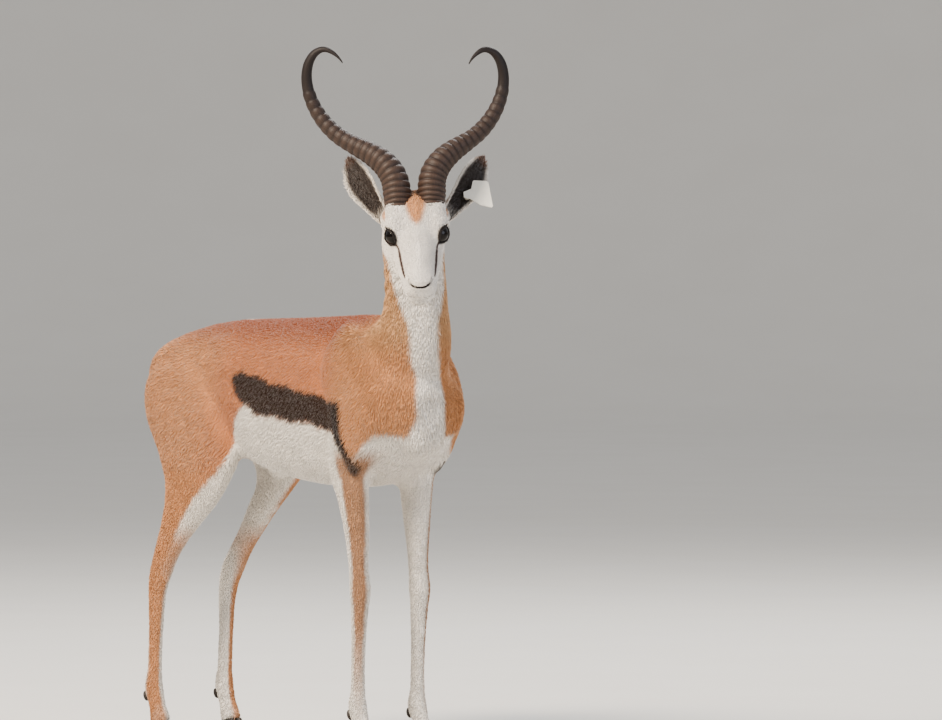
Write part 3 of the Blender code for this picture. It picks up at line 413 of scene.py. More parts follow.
def markings(points):
    """The coat's colours by place: cinnamon above, a dark flank band, white below, and the face."""
    tones = {
        "back": "#8C4A2A",
        "side": "#BF7F58",
        "neck": "#C0966F",
        "thigh": "#C28C64",
        "shoulder": "#BF895F",
        "band": "#190804",
        "white": "#E6E0D8",
        "patch": "#CA9368",
        "stripe": "#3B1E14",
        "leg": "#A3744E",
        "skin": "#1E1613",
    }
    tones = {key: linear(code)[:3] for key, code in tones.items()}
    x, y, z = (points - np.array(plan)).T
    wide = np.abs(x)
    waver = 0.0022 * np.sin(61 * y + 37 * z + 9 * x) + 0.0014 * np.sin(173 * y - 90 * z)
    skull = on_skull(points)
    folded = mirrored_left(skull)
    u, w, v = skull.T
    high = z > CROWN_FROM
    # The trunk, from the spine down: cinnamon, paler at the side, then the band and the white belly.
    colour = np.tile(np.array(tones["side"]), (len(points), 1))
    colour = blend(colour, tones["thigh"], ramp(0.34, 0.50, y))
    colour = blend(colour, tones["shoulder"], ramp(0.06, -0.05, y))
    colour = blend(colour, tones["back"], ramp(0.690, 0.752, z) * ramp(-0.06, 0.02, y))
    top, low = table(BAND_TOP, y), table(BAND_LOW, y)
    below = np.where(y < 0.305, low, table(THIGH_EDGE, y))
    below = np.where(y < -0.03, table(BREAST_EDGE, y), below) + waver
    under = ramp(0.004, -0.005, z - below)
    hind_middle = np.where(x > 0, table(HIND_MIDDLE_LEFT, z), HIND_MIDDLE_RIGHT)
    inner_hind = ramp(0.004, -0.009, wide - hind_middle) * ramp(0.57, 0.53, z) * ramp(0.38, 0.42, y)
    rump = ramp(0.685, 0.712, y + 0.35 * (0.045 - wide)) * ramp(0.060, 0.048, wide) * ramp(0.708, 0.694, z)
    colour = blend(colour, tones["white"], np.maximum(under, np.maximum(inner_hind, rump)))
    in_band = ramp(-0.003, 0.003, z - low - waver) * ramp(0.004, -0.003, z - top - waver)
    in_band *= ramp(0.360, 0.352, y) * ramp(-0.040, -0.024, y)
    colour = blend(colour, tones["band"], in_band * ramp(0.05, 0.09, wide) * 0.96)
    rump_rim = np.exp(-((np.abs(wide - 0.056) / 0.005) ** 2)) * ramp(0.66, 0.70, y) * ramp(0.56, 0.60, z)
    colour = blend(colour, tones["stripe"], 0.7 * rump_rim * ramp(0.71, 0.69, z))
    crest = ramp(0.0085, 0.0050, wide) * ramp(0.40, 0.46, y) * ramp(0.715, 0.728, z)
    colour = blend(colour, tones["white"], 0.75 * crest)
    # The forelegs: white, with a brown stripe from the band down the front and outer face.
    around = np.degrees(np.arctan2(wide - table(FORE_MIDDLE_X, z), table(FORE_MIDDLE_Y, z) - y))
    stripe_from = np.where(x < 0, -8.0, 22.0)
    on_leg = ramp(stripe_from - 9, stripe_from + 9, around) * ramp(84, 62, around)
    on_leg *= ramp(0.545, 0.515, z) * (y < 0.12) * ramp(0.02, 0.10, z) * ramp(-0.115, -0.09, y)
    colour = blend(colour, tones["leg"], on_leg * ramp(0.03, 0.25, z) * 0.92)
    elbow, _ = near_path(np.stack([y, z], 1), ELBOW_LINE)
    colour = blend(colour, tones["band"], ramp(0.014, 0.006, elbow) * ramp(0.070, 0.085, wide) * 0.85)
    # The hind shanks: a fawn stripe down the front and outer face, white inside and behind.
    turn = np.degrees(np.arctan2(wide - np.where(x > 0, 0.052, 0.095), 0.66 - y))
    shank = ramp(-20, 5, turn) * ramp(150, 110, turn) * ramp(0.40, 0.34, z) * (y > 0.5)
    colour = blend(colour, tones["white"], (1 - shank) * ramp(0.38, 0.32, z) * (y > 0.45))
    colour = blend(colour, tones["thigh"], shank * 0.9)
    # The neck: fawn with a cinnamon nape, and a white throat that narrows down to the breast.
    on_neck = ramp(0.68, 0.76, z) * ramp(0.05, -0.02, y)
    colour = blend(colour, tones["neck"], on_neck)
    angle = np.degrees(np.arctan2(x - NECK_MIDDLE_X, table(NECK_MIDDLE_Y, z) - y))
    nape = ramp(105, 150, np.abs(angle + 20)) * ramp(0.66, 0.74, z)
    colour = blend(colour, tones["back"], nape * on_neck * 0.85)
    soft = table(THROAT_SOFTNESS, z)
    past = np.abs(angle - table(THROAT_MIDDLE, z)) - table(THROAT_HALF, z) - 240 * waver
    colour = blend(colour, tones["white"], ramp(soft, -soft, past) * ramp(0.05, 0.0, y) * ramp(0.54, 0.56, z))
    # The head: white, with a brown crown and brow patch, face stripes and dark bare skin.
    on_head = ramp(-0.072, -0.058, past_throat(skull)) * ramp(-0.012, 0.014, u) * (z > HEAD_FROM)
    colour = blend(colour, tones["white"], on_head)
    crown = ramp(0.048, 0.026, u + 0.25 * np.abs(w)) * ramp(-0.004, 0.014, v) * high
    colour = blend(colour, tones["back"], crown * 0.9)
    patch = ramp(0.006, -0.007, np.abs(w) - table(BROW_PATCH_HALF, u)) * ramp(0.120, 0.100, u)
    patch *= ramp(0.010, 0.022, v)
    colour = blend(colour, tones["patch"], patch * high * ramp(0.0, 0.02, u))
    ear_base = (folded - np.array([0.036, 0.050, 0.006])) / np.array([0.015, 0.02, 0.014])
    colour = blend(colour, tones["patch"], ramp(1.1, 0.5, np.linalg.norm(ear_base, axis=1)) * 0.8 * high)
    flat = np.array([1, 0.35, 1])
    away, along = near_path(folded * flat, np.array(FACE_STRIPE) * flat)
    stripe = ramp(0.0013, -0.0009, away - table(FACE_STRIPE_HALF, along))
    colour = blend(colour, tones["stripe"], stripe * (z > HEAD_FROM))
    horn_foot = (folded - np.array([0.034, 0.030, 0.050])) * np.array([0.92, 1, 0.8])
    collar = ramp(0.0300, 0.0265, np.linalg.norm(horn_foot, axis=1)) * high
    colour = blend(colour, tones["stripe"], collar * 0.85)
    lid_rim = ramp(0.0048, 0.0024, lid_distance(skull)[0]) * high
    corner = np.linalg.norm(folded - np.array([0.1225, 0.0385, 0.0060]), axis=1)
    colour = blend(colour, tones["skin"], np.maximum(lid_rim, ramp(0.0055, 0.003, corner) * high))
    wing, _ = near_path(folded, NOSTRIL_LINE)
    colour = blend(colour, tones["skin"], ramp(0.0038, 0.0020, wing) * (z > HEAD_FROM))
    lips = ramp(0.0016, 0.0006, np.abs(v - lip_line(u))) * ramp(0.165, 0.172, u)
    return blend(colour, tones["skin"], lips * (z > HEAD_FROM) * (np.abs(w) < 0.04) * 0.9)


def paint_coat(mesh, colours):
    """Stores a colour for each point of a mesh as the attribute that the coat's material reads."""
    layer = mesh.attributes.new("Coat", "FLOAT_COLOR", "POINT")
    values = np.concatenate([np.clip(colours, 0, 1), np.ones((len(colours), 1))], 1)
    layer.data.foreach_set("color", values.astype(np.float32).ravel())


def neighbours_mean(co, edges, degree):
    """The mean place of the points joined to each point."""
    total = np.empty_like(co)
    for axis in range(3):
        total[:, axis] = np.bincount(edges[:, 0], co[edges[:, 1], axis], len(co))
        total[:, axis] += np.bincount(edges[:, 1], co[edges[:, 0], axis], len(co))
    return total / degree


def relax(mesh, rounds, share):
    """Smooths a mesh without shrinking it: each round moves points in and then a little further out."""
    co = read(mesh.vertices, "co", 3)
    edges = read(mesh.edges, "vertices", 2, int)
    degree = np.bincount(edges.ravel(), minlength=len(co))[:, None]
    for _ in range(rounds):
        for pull in (0.6, -0.63):
            co += pull * share[:, None] * (neighbours_mean(co, edges, degree) - co)
    mesh.vertices.foreach_set("co", co.ravel())
    mesh.update()
    return co


def split_faces(mesh, chosen):
    """Divides each edge between chosen points in two, and the faces between them in four."""
    shape = bmesh.new()
    shape.from_mesh(mesh)
    edges = [edge for edge in shape.edges if chosen[edge.verts[0].index] and chosen[edge.verts[1].index]]
    bmesh.ops.subdivide_edges(shape, edges=edges, cuts=1, use_grid_fill=True)
    shape.to_mesh(mesh)
    shape.free()
    mesh.update()


SKIN_STEP = 0.0048  # the grid that the solids are fused on
JOIN_SWELL = 0.0005  # closes the gaps between the solids
SOCKET_SWELL = 0.0012  # closes the eye sockets
flesh = ["torso", "neck", "head", "foreleg_left", "foreleg_right", "hindleg_left", "hindleg_right"]
fused = bmesh.new()
for name in flesh + ["eye_left", "eye_right"]:
    solid = bmesh.new()
    solid.from_mesh(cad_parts[name].data)
    bmesh.ops.remove_doubles(solid, verts=solid.verts, dist=1e-5)
    bmesh.ops.recalc_face_normals(solid, faces=solid.faces)
    swell = SOCKET_SWELL if name.startswith("eye") else JOIN_SWELL
    for vert, normal in [(vert, vert.normal.copy()) for vert in solid.verts]:
        vert.co += normal * swell
    held = bpy.data.meshes.new("held")
    solid.to_mesh(held)
    solid.free()
    fused.from_mesh(held)
    bpy.data.meshes.remove(held)
skin_mesh = bpy.data.meshes.new("skin")
fused.to_mesh(skin_mesh)
fused.free()
skin = show("skin", skin_mesh)
bpy.context.view_layer.objects.active = skin
skin.select_set(True)
remesh = skin.modifiers.new("fuse", "REMESH")
remesh.mode = "VOXEL"
remesh.voxel_size = SKIN_STEP
bpy.ops.object.modifier_apply(modifier="fuse")
skin_mesh = skin.data

points = read(skin_mesh.vertices, "co", 3)
nose_way = on_skull(points)
above = ramp(-0.085, -0.055, past_throat(nose_way)) * (points[:, 2] > HEAD_FROM)
points = relax(skin_mesh, 20, 1 - 0.55 * above)
nose_way = on_skull(points)
head_share = ramp(-0.080, -0.060, past_throat(nose_way)) * (points[:, 2] > HEAD_FROM)
# The coat's depth, by height on trunk and legs, and on the head and the muzzle.
COAT_DEPTH = ((0.10, 0.0013), (0.40, 0.0018), (0.52, 0.0030))
HEAD_DEPTH = 0.0012
MUZZLE_DEPTH = 0.0009
depth = table(COAT_DEPTH, points[:, 2])
depth = depth + (HEAD_DEPTH - depth) * head_share
depth = np.where((nose_way[:, 0] > 0.16) & (head_share > 0.5), MUZZLE_DEPTH, depth)
normals = read(skin_mesh.vertex_normals, "vector", 3)
normals[points[:, 2] < 0.045, 2] = 0
points -= normals * (depth + JOIN_SWELL)[:, None]
# Folds where the turned neck is pinched on its right side and under the jaw.
x, y, z = (points - np.array(plan)).T
pinch = ramp(-0.015, -0.045, x) * ramp(0.77, 0.80, z) * ramp(0.90, 0.86, z) * (1 - head_share)
FOLD_HEIGHT = 0.0006
FOLD_SPACING = 0.026
fold = FOLD_HEIGHT * np.sin(2 * math.pi * (z + 0.35 * y) / FOLD_SPACING)
points -= normals * (pinch * fold)[:, None]
skin_mesh.vertices.foreach_set("co", points.ravel())
skin_mesh.update()

nose_way = on_skull(points)
split_faces(skin_mesh, (head_share > 0.3) & (nose_way[:, 0] > 0.0))
points = read(skin_mesh.vertices, "co", 3)
nose_way = on_skull(points)
folded = mirrored_left(nose_way)
by_eye = np.linalg.norm(folded - EYE, axis=1) < 0.033
by_muzzle = (nose_way[:, 0] > 0.168) & (points[:, 2] > HEAD_FROM)
points = relax(skin_mesh, 3, ((nose_way[:, 0] > 0.01) & (points[:, 2] > CROWN_FROM)) * 0.8)
split_faces(skin_mesh, by_eye | by_muzzle)
points = read(skin_mesh.vertices, "co", 3)
nose_way = on_skull(points)
near_face = (nose_way[:, 0] > 0.06) & (points[:, 2] > 0.82)
points = relax(skin_mesh, 3, near_face * 0.8)
normals = read(skin_mesh.vertex_normals, "vector", 3)
nose_way = on_skull(points)
folded = mirrored_left(nose_way)
facing = points[:, 2] > HEAD_FROM
wing, share = near_path(folded, NOSTRIL_LINE)
# Nostrils that deepen from wing to middle behind a raised edge, the lips, and the philtrum.
NOSTRIL_DEPTH = ((0, 0.0022), (0.25, 0.0040), (0.6, 0.0026), (1, 0.0008))
deep = table(NOSTRIL_DEPTH, share)
sink = deep * np.exp(-((wing / 0.0021) ** 2)) - 0.0007 * np.exp(-(((wing - 0.0045) / 0.0018) ** 2))
mouth = nose_way[:, 2] - lip_line(nose_way[:, 0])
on_mouth = ramp(0.163, 0.171, nose_way[:, 0]) * (np.abs(nose_way[:, 1]) < 0.04)
sink += 0.0021 * np.exp(-((mouth / 0.0013) ** 2)) * on_mouth
sink -= 0.0007 * np.exp(-(((mouth + 0.0048) / 0.0026) ** 2)) * on_mouth
groove = np.exp(-((nose_way[:, 1] / 0.0011) ** 2)) * ramp(0.212, 0.216, nose_way[:, 0])
sink += 0.0009 * groove * ramp(-0.037, -0.034, nose_way[:, 2]) * ramp(-0.012, -0.015, nose_way[:, 2])
points -= normals * (sink * facing)[:, None]
# The lids: open over the ball, with a raised edge that follows it.
edge, offset, eye_side, slit, rise = lid_distance(on_skull(points))
radius = np.linalg.norm(offset, axis=1)
around_eye = (edge < 0.012) & (radius < 0.034) & (points[:, 2] > CROWN_FROM)
lid = EYE_RADIUS - 0.0024 + 0.0040 * ramp(-0.0012, 0.0007, edge)
lid_outside = np.maximum(radius, EYE_RADIUS + 0.0016 - 0.0006 * ramp(0.002, 0.009, edge))
goal = np.where(edge < 0.0007, lid, lid_outside)
crease = np.exp(-(((edge - 0.0048) / 0.0011) ** 2)) * (rise > 0)
goal = np.where(edge > 0.0007, goal - 0.0007 * crease, goal)
moved = EYE + offset * (goal / np.maximum(radius, 1e-6))[:, None]
moved[:, 1] *= eye_side
points = np.where(around_eye[:, None], from_skull(moved), points)
skin_mesh.vertices.foreach_set("co", points.ravel())
skin_mesh.update()
skin_mesh.shade_smooth()
paint_coat(skin_mesh, markings(points))

bpy.ops.object.mode_set(mode="EDIT")
bpy.ops.mesh.select_all(action="SELECT")
bpy.ops.uv.smart_project(angle_limit=math.radians(66), island_margin=0.001)
bpy.ops.object.mode_set(mode="OBJECT")
skin_mesh.uv_layers.active.name = "OFBake"


# Short fur on hide: the coat's colour with hair-fine streaks and slow patches of tone, dull, and with
# the soft edge glow of lying hair.
def fur_material(name, bump, glow):
    sizes = {"Roughness": 0.82, "Sheen Roughness": 0.5, "Sheen Weight": glow, "Specular IOR Level": 0.18}
    made, tree, shader = new_material(name, sizes)
    coat = add(tree, "ShaderNodeAttribute", {"attribute_name": "Coat"})
    hair, slow = speckle(tree, 850.0, 3.0), speckle(tree, 34.0, 3.0)
    fine, wide = (
        add(tree, "ShaderNodeMapRange", None, {"To Min": 1 - by, "To Max": 1 + by}, {"Value": pattern})
        for by, pattern in ((0.20, hair), (0.14, slow))
    )
    both = {0: fine.outputs["Result"], 1: wide.outputs["Result"]}
    tone = add(tree, "ShaderNodeMath", {"operation": "MULTIPLY"}, None, both)
    feeds = {"Vector": coat.outputs["Color"], "Scale": tone.outputs["Value"]}
    tinted = add(tree, "ShaderNodeVectorMath", {"operation": "SCALE"}, None, feeds)
    tree.links.new(tinted.outputs["Vector"], shader.inputs["Base Color"])
    if bump:
        relief(tree, shader, hair, 0.5, bump)
    return made


hide = fur_material("short fur on hide", 0.0010, 0.10)
skin_mesh.materials.append(hide)
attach(skin, "root")
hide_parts(*flesh)
skin.select_set(False)


# The coat. Flat-lying guard hair that grows from the hide in small pointed tufts, back and down over
# the trunk, down the neck and legs and up the face. Each tuft is a closed, three-sided blade.
def quick_mesh(name, points, faces):
    """A mesh from arrays of points and of triangles or quads."""
    made = bpy.data.meshes.new(name)
    made.vertices.add(len(points))
    made.vertices.foreach_set("co", points.astype(np.float32).ravel())
    made.loops.add(faces.size)
    made.loops.foreach_set("vertex_index", faces.astype(np.int32).ravel())
    made.polygons.add(len(faces))
    made.polygons.foreach_set("loop_start", np.arange(len(faces), dtype=np.int32) * faces.shape[1])
    made.update(calc_edges=True)
    made.shade_smooth()
    return made


def surface(obj):
    """Corners, normals, places on the unwrap and colours of every triangle of a painted mesh."""
    mesh = obj.data
    mesh.calc_loop_triangles()
    corners = read(mesh.loop_triangles, "vertices", 3, int)
    loops = read(mesh.loop_triangles, "loops", 3, int)
    return (
        read(mesh.vertices, "co", 3)[corners],
        read(mesh.vertex_normals, "vector", 3)[corners],
        read(mesh.uv_layers["OFBake"].uv, "vector", 2)[loops],
        read(mesh.attributes["Coat"].data, "color", 4)[corners][:, :, :3],
    )


# A blade's faces over its root ring, its middle ring and its tip, its place on the unwrap, and its
# painted shade from root to tip: darker at the root, where shade falls deep in the coat, and a little
# lighter at the tip.
BLADE = ((0, 1, 2), (0, 3, 4), (0, 4, 1), (0, 2, 5), (0, 5, 3), (1, 4, 5), (1, 5, 2), (3, 5, 6))
BLADE = np.array(BLADE + ((4, 6, 5), (3, 6, 4)))
BLADE_UNWRAP = np.array([(1, -1), (-1, -1), (0, -1), (0.7, 0), (-0.7, 0), (0, 0), (0, 1)]) * 0.0015
BLADE_PAINTED_SHADE = np.array([0.78, 0.78, 0.82, 0.97, 0.97, 1.0, 1.08])


def tufts(name, faces, keep, flow, size, seed):
    """A piece of coat: blades rooted evenly over the kept faces, lying along the flow.

    The size is a blade's length, width, spacing and rise from the hide in degrees.
    """
    length, width, spacing, lie = size
    rng = np.random.default_rng(seed)
    co, normal, unwrap, colour = (rows[keep] for rows in faces)
    area = np.linalg.norm(np.cross(co[:, 1] - co[:, 0], co[:, 2] - co[:, 0]), axis=1) / 2
    count = int(area.sum() / spacing**2)
    total = np.cumsum(area)
    pick = np.searchsorted(total, (np.arange(count) + rng.random(count)) / count * total[-1])
    pick = np.minimum(pick, len(area) - 1)
    first, second = np.sqrt(rng.random(count)), rng.random(count)
    share = np.stack([1 - first, first * (1 - second), first * second], 1)[:, :, None]
    root, out, spot, tint = ((rows[pick] * share).sum(1) for rows in (co, normal, unwrap, colour))
    out /= np.linalg.norm(out, axis=1)[:, None]
    course = flow(root)
    course = course - out * (course * out).sum(1)[:, None]
    course /= np.maximum(np.linalg.norm(course, axis=1), 1e-6)[:, None]
    spin = rng.normal(0, 0.17, count)[:, None]
    course = course * np.cos(spin) + np.cross(out, course) * np.sin(spin)
    across = np.cross(out, course)
    long = (length * (0.72 + 0.5 * rng.random(count)))[:, None]
    half = (width / 2 * (0.8 + 0.4 * rng.random(count)))[:, None]
    angle = (math.radians(lie) * (0.75 + 0.5 * rng.random(count)))[:, None]
    base = root - out * 0.0004
    middle = root + (course * np.cos(angle) + out * np.sin(angle) * 1.15) * long * 0.5
    tip = root + course * long + out * np.sin(angle) * long * 0.78
    ring = [base + across * half, base - across * half, base + out * half * 0.7]
    ring += [middle + across * half, middle - across * half, middle + out * half * 0.6, tip]
    points = np.stack(ring, 1).reshape(-1, 3)
    indices = (BLADE[None] + 7 * np.arange(count)[:, None, None]).reshape(-1, 3)
    mesh = quick_mesh(name, points, indices)
    jitter = (1 + rng.uniform(-0.07, 0.07, count))[:, None, None]
    # Each blade takes the hide's colour, varied a little at random, with painted shade darkening it towards
    # the root.
    paint_coat(mesh, (tint[:, None, :] * jitter * BLADE_PAINTED_SHADE[None, :, None]).reshape(-1, 3))
    places = (spot[:, None, :] + BLADE_UNWRAP[None]).reshape(-1, 2)
    layer = mesh.uv_layers.new(name="OFBake")
    layer.uv.foreach_set("vector", places[indices.ravel()].astype(np.float32).ravel())
    mesh.materials.append(guard_hair)
    made = show(name, mesh)
    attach(made, "root")


def body_flow(points):
    """The way the hair lies: back and down on the trunk, down the neck and legs, up the face."""
    x, y, z = (points - np.array(plan)).T
    zero = np.zeros(len(x))
    steep = 0.9 * ramp(0.03, 0.10, np.abs(x)) * ramp(0.76, 0.66, z)
    course = np.stack([zero, zero + 1, -steep], 1)
    down = np.stack([zero, zero + 0.25, zero - 1], 1)
    neck_share = ramp(0.66, 0.74, z + 0.5 * np.clip(-y, 0, 0.1)) * ramp(0.03, -0.03, y)
    course += (down - course) * neck_share[:, None]
    course += (down - course) * (ramp(-0.06, -0.11, y) * (z < 0.75))[:, None]
    course += (down - course) * ramp(0.52, 0.46, z)[:, None]
    course += (down - course) * ramp(0.66, 0.72, y)[:, None]
    skull = on_skull(points)
    face = ramp(-0.075, -0.055, past_throat(skull)) * (z > HEAD_FROM)
    up_face = -skull_axes[0] + 0.25 * np.sign(skull[:, 1])[:, None] * skull_axes[1]
    return course + (up_face - course) * face[:, None]


guard_hair = fur_material("guard hair", 0, 0.22)
hide_faces = surface(skin)
middles = hide_faces[0].mean(1)
x, y, z = (middles - np.array(plan)).T
skull = on_skull(middles)
is_head = (past_throat(skull) > -0.066) & (z > HEAD_FROM)
is_neck = ~is_head & ((y + 0.0675) * -0.67 + (z - 0.7065) * 0.74 > 0)
is_leg = ~is_head & ~is_neck & (z < 0.49) & ((y < 0.13) | (y > 0.42))
edge = lid_distance(skull)[0]
folded = mirrored_left(skull)
bare = is_head & ((edge < 0.0020) | (near_path(folded, NOSTRIL_LINE)[0] < 0.0030))
bare |= is_head & (np.abs(skull[:, 2] - lip_line(skull[:, 0])) < 0.0012) & (skull[:, 0] > 0.168)
is_muzzle = is_head & (skull[:, 0] > 0.115)
is_trunk = ~is_head & ~is_neck & ~is_leg
trunk_hair = (0.0135, 0.0020, 0.0031, 8)
pieces = [
    ("coat_muzzle", is_muzzle & ~bare, (0.0038, 0.0011, 0.0017, 13)),
    ("coat_crown", is_head & ~is_muzzle & ~bare, (0.0062, 0.0015, 0.0023, 13)),
    ("coat_neck", is_neck, (0.0120, 0.0018, 0.0028, 9)),
]
for word, side in (("left", x > 0), ("right", x <= 0)):
    pieces += [
        ("coat_shoulder_" + word, is_trunk & side & (y < 0.12), (0.0125, 0.0019, 0.0030, 8)),
        ("coat_flank_" + word, is_trunk & side & (y >= 0.12) & (y < 0.36), trunk_hair),
        ("coat_rump_" + word, is_trunk & side & (y >= 0.36), trunk_hair),
        ("coat_foreleg_" + word, is_leg & side & (y < 0.2), (0.0072, 0.0016, 0.0026, 11)),
        ("coat_hindleg_" + word, is_leg & side & (y > 0.2), (0.0080, 0.0017, 0.0027, 11)),
    ]
for i, (name, keep, size) in enumerate(pieces):
    tufts(name, hide_faces, keep, body_flow, size, 20 + i)


# The eyes. Moist, near-black balls with a slight corneal bulge, behind lids edged with bare dark skin
# and lashes. Each ball is a sphere drawn out round its axis.
wet, tree, shader = new_material(
    "moist eye", {"Roughness": 0.10, "Coat Weight": 0.25, "Coat Roughness": 0.02, "Specular IOR Level": 0.22}
)
two_tones(tree, shader, speckle(tree, 260.0, 4.0), linear("#050302"), linear("#120804"))

# Bare lid skin: near-black and a little greasy, with a fine pebbled bump.
bare_skin, tree, shader = new_material(
    "bare dark skin", {"Base Color": linear("#1D1512"), "Roughness": 0.42, "Specular IOR Level": 0.4}
)
relief(tree, shader, speckle(tree, 1400.0, 2.0), 0.4, 0.0003)


def tube(name, rings, closed):
    """A tube of quads through rings of points, either joined end to end or with its ends closed."""
    rings = np.array(rings)
    count, sides = rings.shape[:2]
    rows = count if closed else count - 1
    i, j = np.meshgrid(np.arange(rows), np.arange(sides), indexing="ij")
    after, beside = (i + 1) % count, (j + 1) % sides
    faces = np.stack([i * sides + j, i * sides + beside, after * sides + beside, after * sides + j], -1)
    mesh = quick_mesh(name, rings.reshape(-1, 3), faces.reshape(-1, 4))
    shape = bmesh.new()
    shape.from_mesh(mesh)
    if not closed:
        bmesh.ops.holes_fill(shape, edges=[edge for edge in shape.edges if edge.is_boundary])
    bmesh.ops.recalc_face_normals(shape, faces=shape.faces)
    shape.to_mesh(mesh)
    shape.free()
    mesh.shade_smooth()
    return show(name, mesh)


for word, side in (("left", 1), ("right", -1)):
    middle = EYE * np.array([1, side, 1])
    turn = eye_axes(side)
    bpy.ops.mesh.primitive_uv_sphere_add(segments=56, ring_count=36, radius=1)
    ball = bpy.context.object
    ball.name = "ball_" + word
    co = read(ball.data.vertices, "co", 3)
    cornea = 1 + 0.035 * ramp(0.80, 1.0, co[:, 2:3])
    co = from_skull((co * cornea * (EYE_RADIUS - 0.0001)) @ turn + middle)
    ball.data.vertices.foreach_set("co", co.ravel())
    ball.data.shade_smooth()
    ball.data.materials.append(wet)
    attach(ball, "root")
    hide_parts("eye_" + word)
    rings = []
    angles = np.linspace(0, 2 * math.pi, 72, endpoint=False)
    rise = LID_HEIGHT * np.sin(angles) * (1 - 0.35 * np.cos(angles) ** 2)
    rim = np.stack([LID_LENGTH * np.cos(angles), rise], 1)
    height = np.sqrt((EYE_RADIUS + 0.0007) ** 2 - (rim**2).sum(1))
    rim = np.stack([rim[:, 0], rim[:, 1], height], 1)
    ahead = np.roll(rim, -1, 0) - np.roll(rim, 1, 0)
    ahead /= np.linalg.norm(ahead, axis=1)[:, None]
    outward = rim / np.linalg.norm(rim, axis=1)[:, None]
    sideways = np.cross(ahead, outward)
    thick = 0.0010 + 0.0004 * np.clip(np.sin(angles), 0, 1)
    for k in range(len(rim)):
        a = np.linspace(0, 2 * math.pi, 10, endpoint=False)[:, None]
        ring = rim[k] + (outward[k] * np.cos(a) * 1.1 + sideways[k] * np.sin(a) * 1.5) * thick[k]
        rings.append(from_skull(ring @ turn + middle))
    lid_rim = tube("lid_rim_" + word, rings, True)
    lid_rim.data.materials.append(bare_skin)
    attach(lid_rim, "root")
    # Lashes along the upper lid, longest over its outer half.
    rng = np.random.default_rng(5)
    lashes = []
    for t in np.linspace(0.30, 2.9, 44):
        spot = np.array([np.interp(t, angles, rim[:, n]) for n in range(3)])
        out = spot / np.linalg.norm(spot)
        away = out * 0.75 + np.array([-0.18, 0.42, 0.0])
        away += rng.normal(0, 0.07, 3)
        away /= np.linalg.norm(away)
        long = (0.0068 + 0.0042 * math.sin(t)) * rng.uniform(0.8, 1.15)
        fall = np.array([0, -0.35, 0.0])
        side_way = np.cross(away, out)
        side_way /= np.linalg.norm(side_way)
        over = np.cross(side_way, away)
        rows = []
        for share in (0.0, 0.4, 0.75, 1.0):
            size = 0.00042 * (1 - 0.85 * share)
            here = spot + away * long * share + fall * long * share**2
            corners = [side_way * size, over * size, -side_way * size, -over * size]
            rows.append([from_skull((here + c) @ turn + middle) for c in corners])
        lashes.append(rows)
    lashes = np.array(lashes)
    lash_faces = []
    for i in range(len(lashes)):
        for r in range(3):
            for c in range(4):
                at = i * 16 + r * 4
                lash_faces.append((at + c, at + (c + 1) % 4, at + 4 + (c + 1) % 4, at + 4 + c))
        lash_faces.append((i * 16 + 3, i * 16 + 2, i * 16 + 1, i * 16))
        lash_faces.append((i * 16 + 12, i * 16 + 13, i * 16 + 14, i * 16 + 15))
    lash = show("lashes_" + word, quick_mesh("lashes_" + word, lashes.reshape(-1, 3), np.array(lash_faces)))
    lash.data.materials.append(bare_skin)
    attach(lash, "root")


# The ears. Thin cupped leaves of gristle and hide, dark inside with pale rims and a brown tip, covered
# with short hair on both faces. Each is a folded sheet with a real edge.
EAR_LEAF = np.array(
    [
        (-0.10, 0.0080, 130),
        (0.00, 0.0120, 120),
        (0.14, 0.0145, 104),
        (0.32, 0.0200, 82),
        (0.50, 0.0255, 66),
        (0.68, 0.0250, 54),
        (0.84, 0.0170, 44),
        (0.95, 0.0080, 34),
        (1.00, 0.0022, 30),
    ]
)


EAR_LENGTH = 0.140


def ear_frame(side):
    """An ear's root in the frame, and the ways along it, out of its cup and across it."""
    rise, lean, open_out = (math.radians(v) for v in (51.0 if side > 0 else 59.0, 18.0, 18.0))
    along = Vector((-math.sin(lean), math.cos(lean) * math.cos(rise), math.cos(lean) * math.sin(rise)))
    out = Vector((math.cos(open_out), math.sin(open_out), 0.0))
    out = (out - along * out.dot(along)).normalized()
    ways = axes([along, out, along.cross(out)]) * np.array([1, side, 1])
    return from_skull(np.array([0.030, 0.0490 * side, -0.0140])), ways @ level_axes


def ear_sheet(side, share, arc, depth):
    """A point of the ear: share of its length, share of its wrap and depth inside its back."""
    root, (along, out, across) = ear_frame(side)
    half, wrap = (np.interp(share, EAR_LEAF[:, 0], EAR_LEAF[:, k]) for k in (1, 2))
    wrap = math.radians(wrap)
    radius = half / math.sin(min(wrap, math.pi / 2))
    held = max(share, 0.0)
    bend = 0.010 * math.sin(math.pi * held) - 0.012 * held**3
    base = root + along * EAR_LENGTH * share - out * (0.012 - bend)
    inner = radius - depth
    return base + out * (radius - inner * math.cos(wrap * arc)) + across * inner * math.sin(wrap * arc)


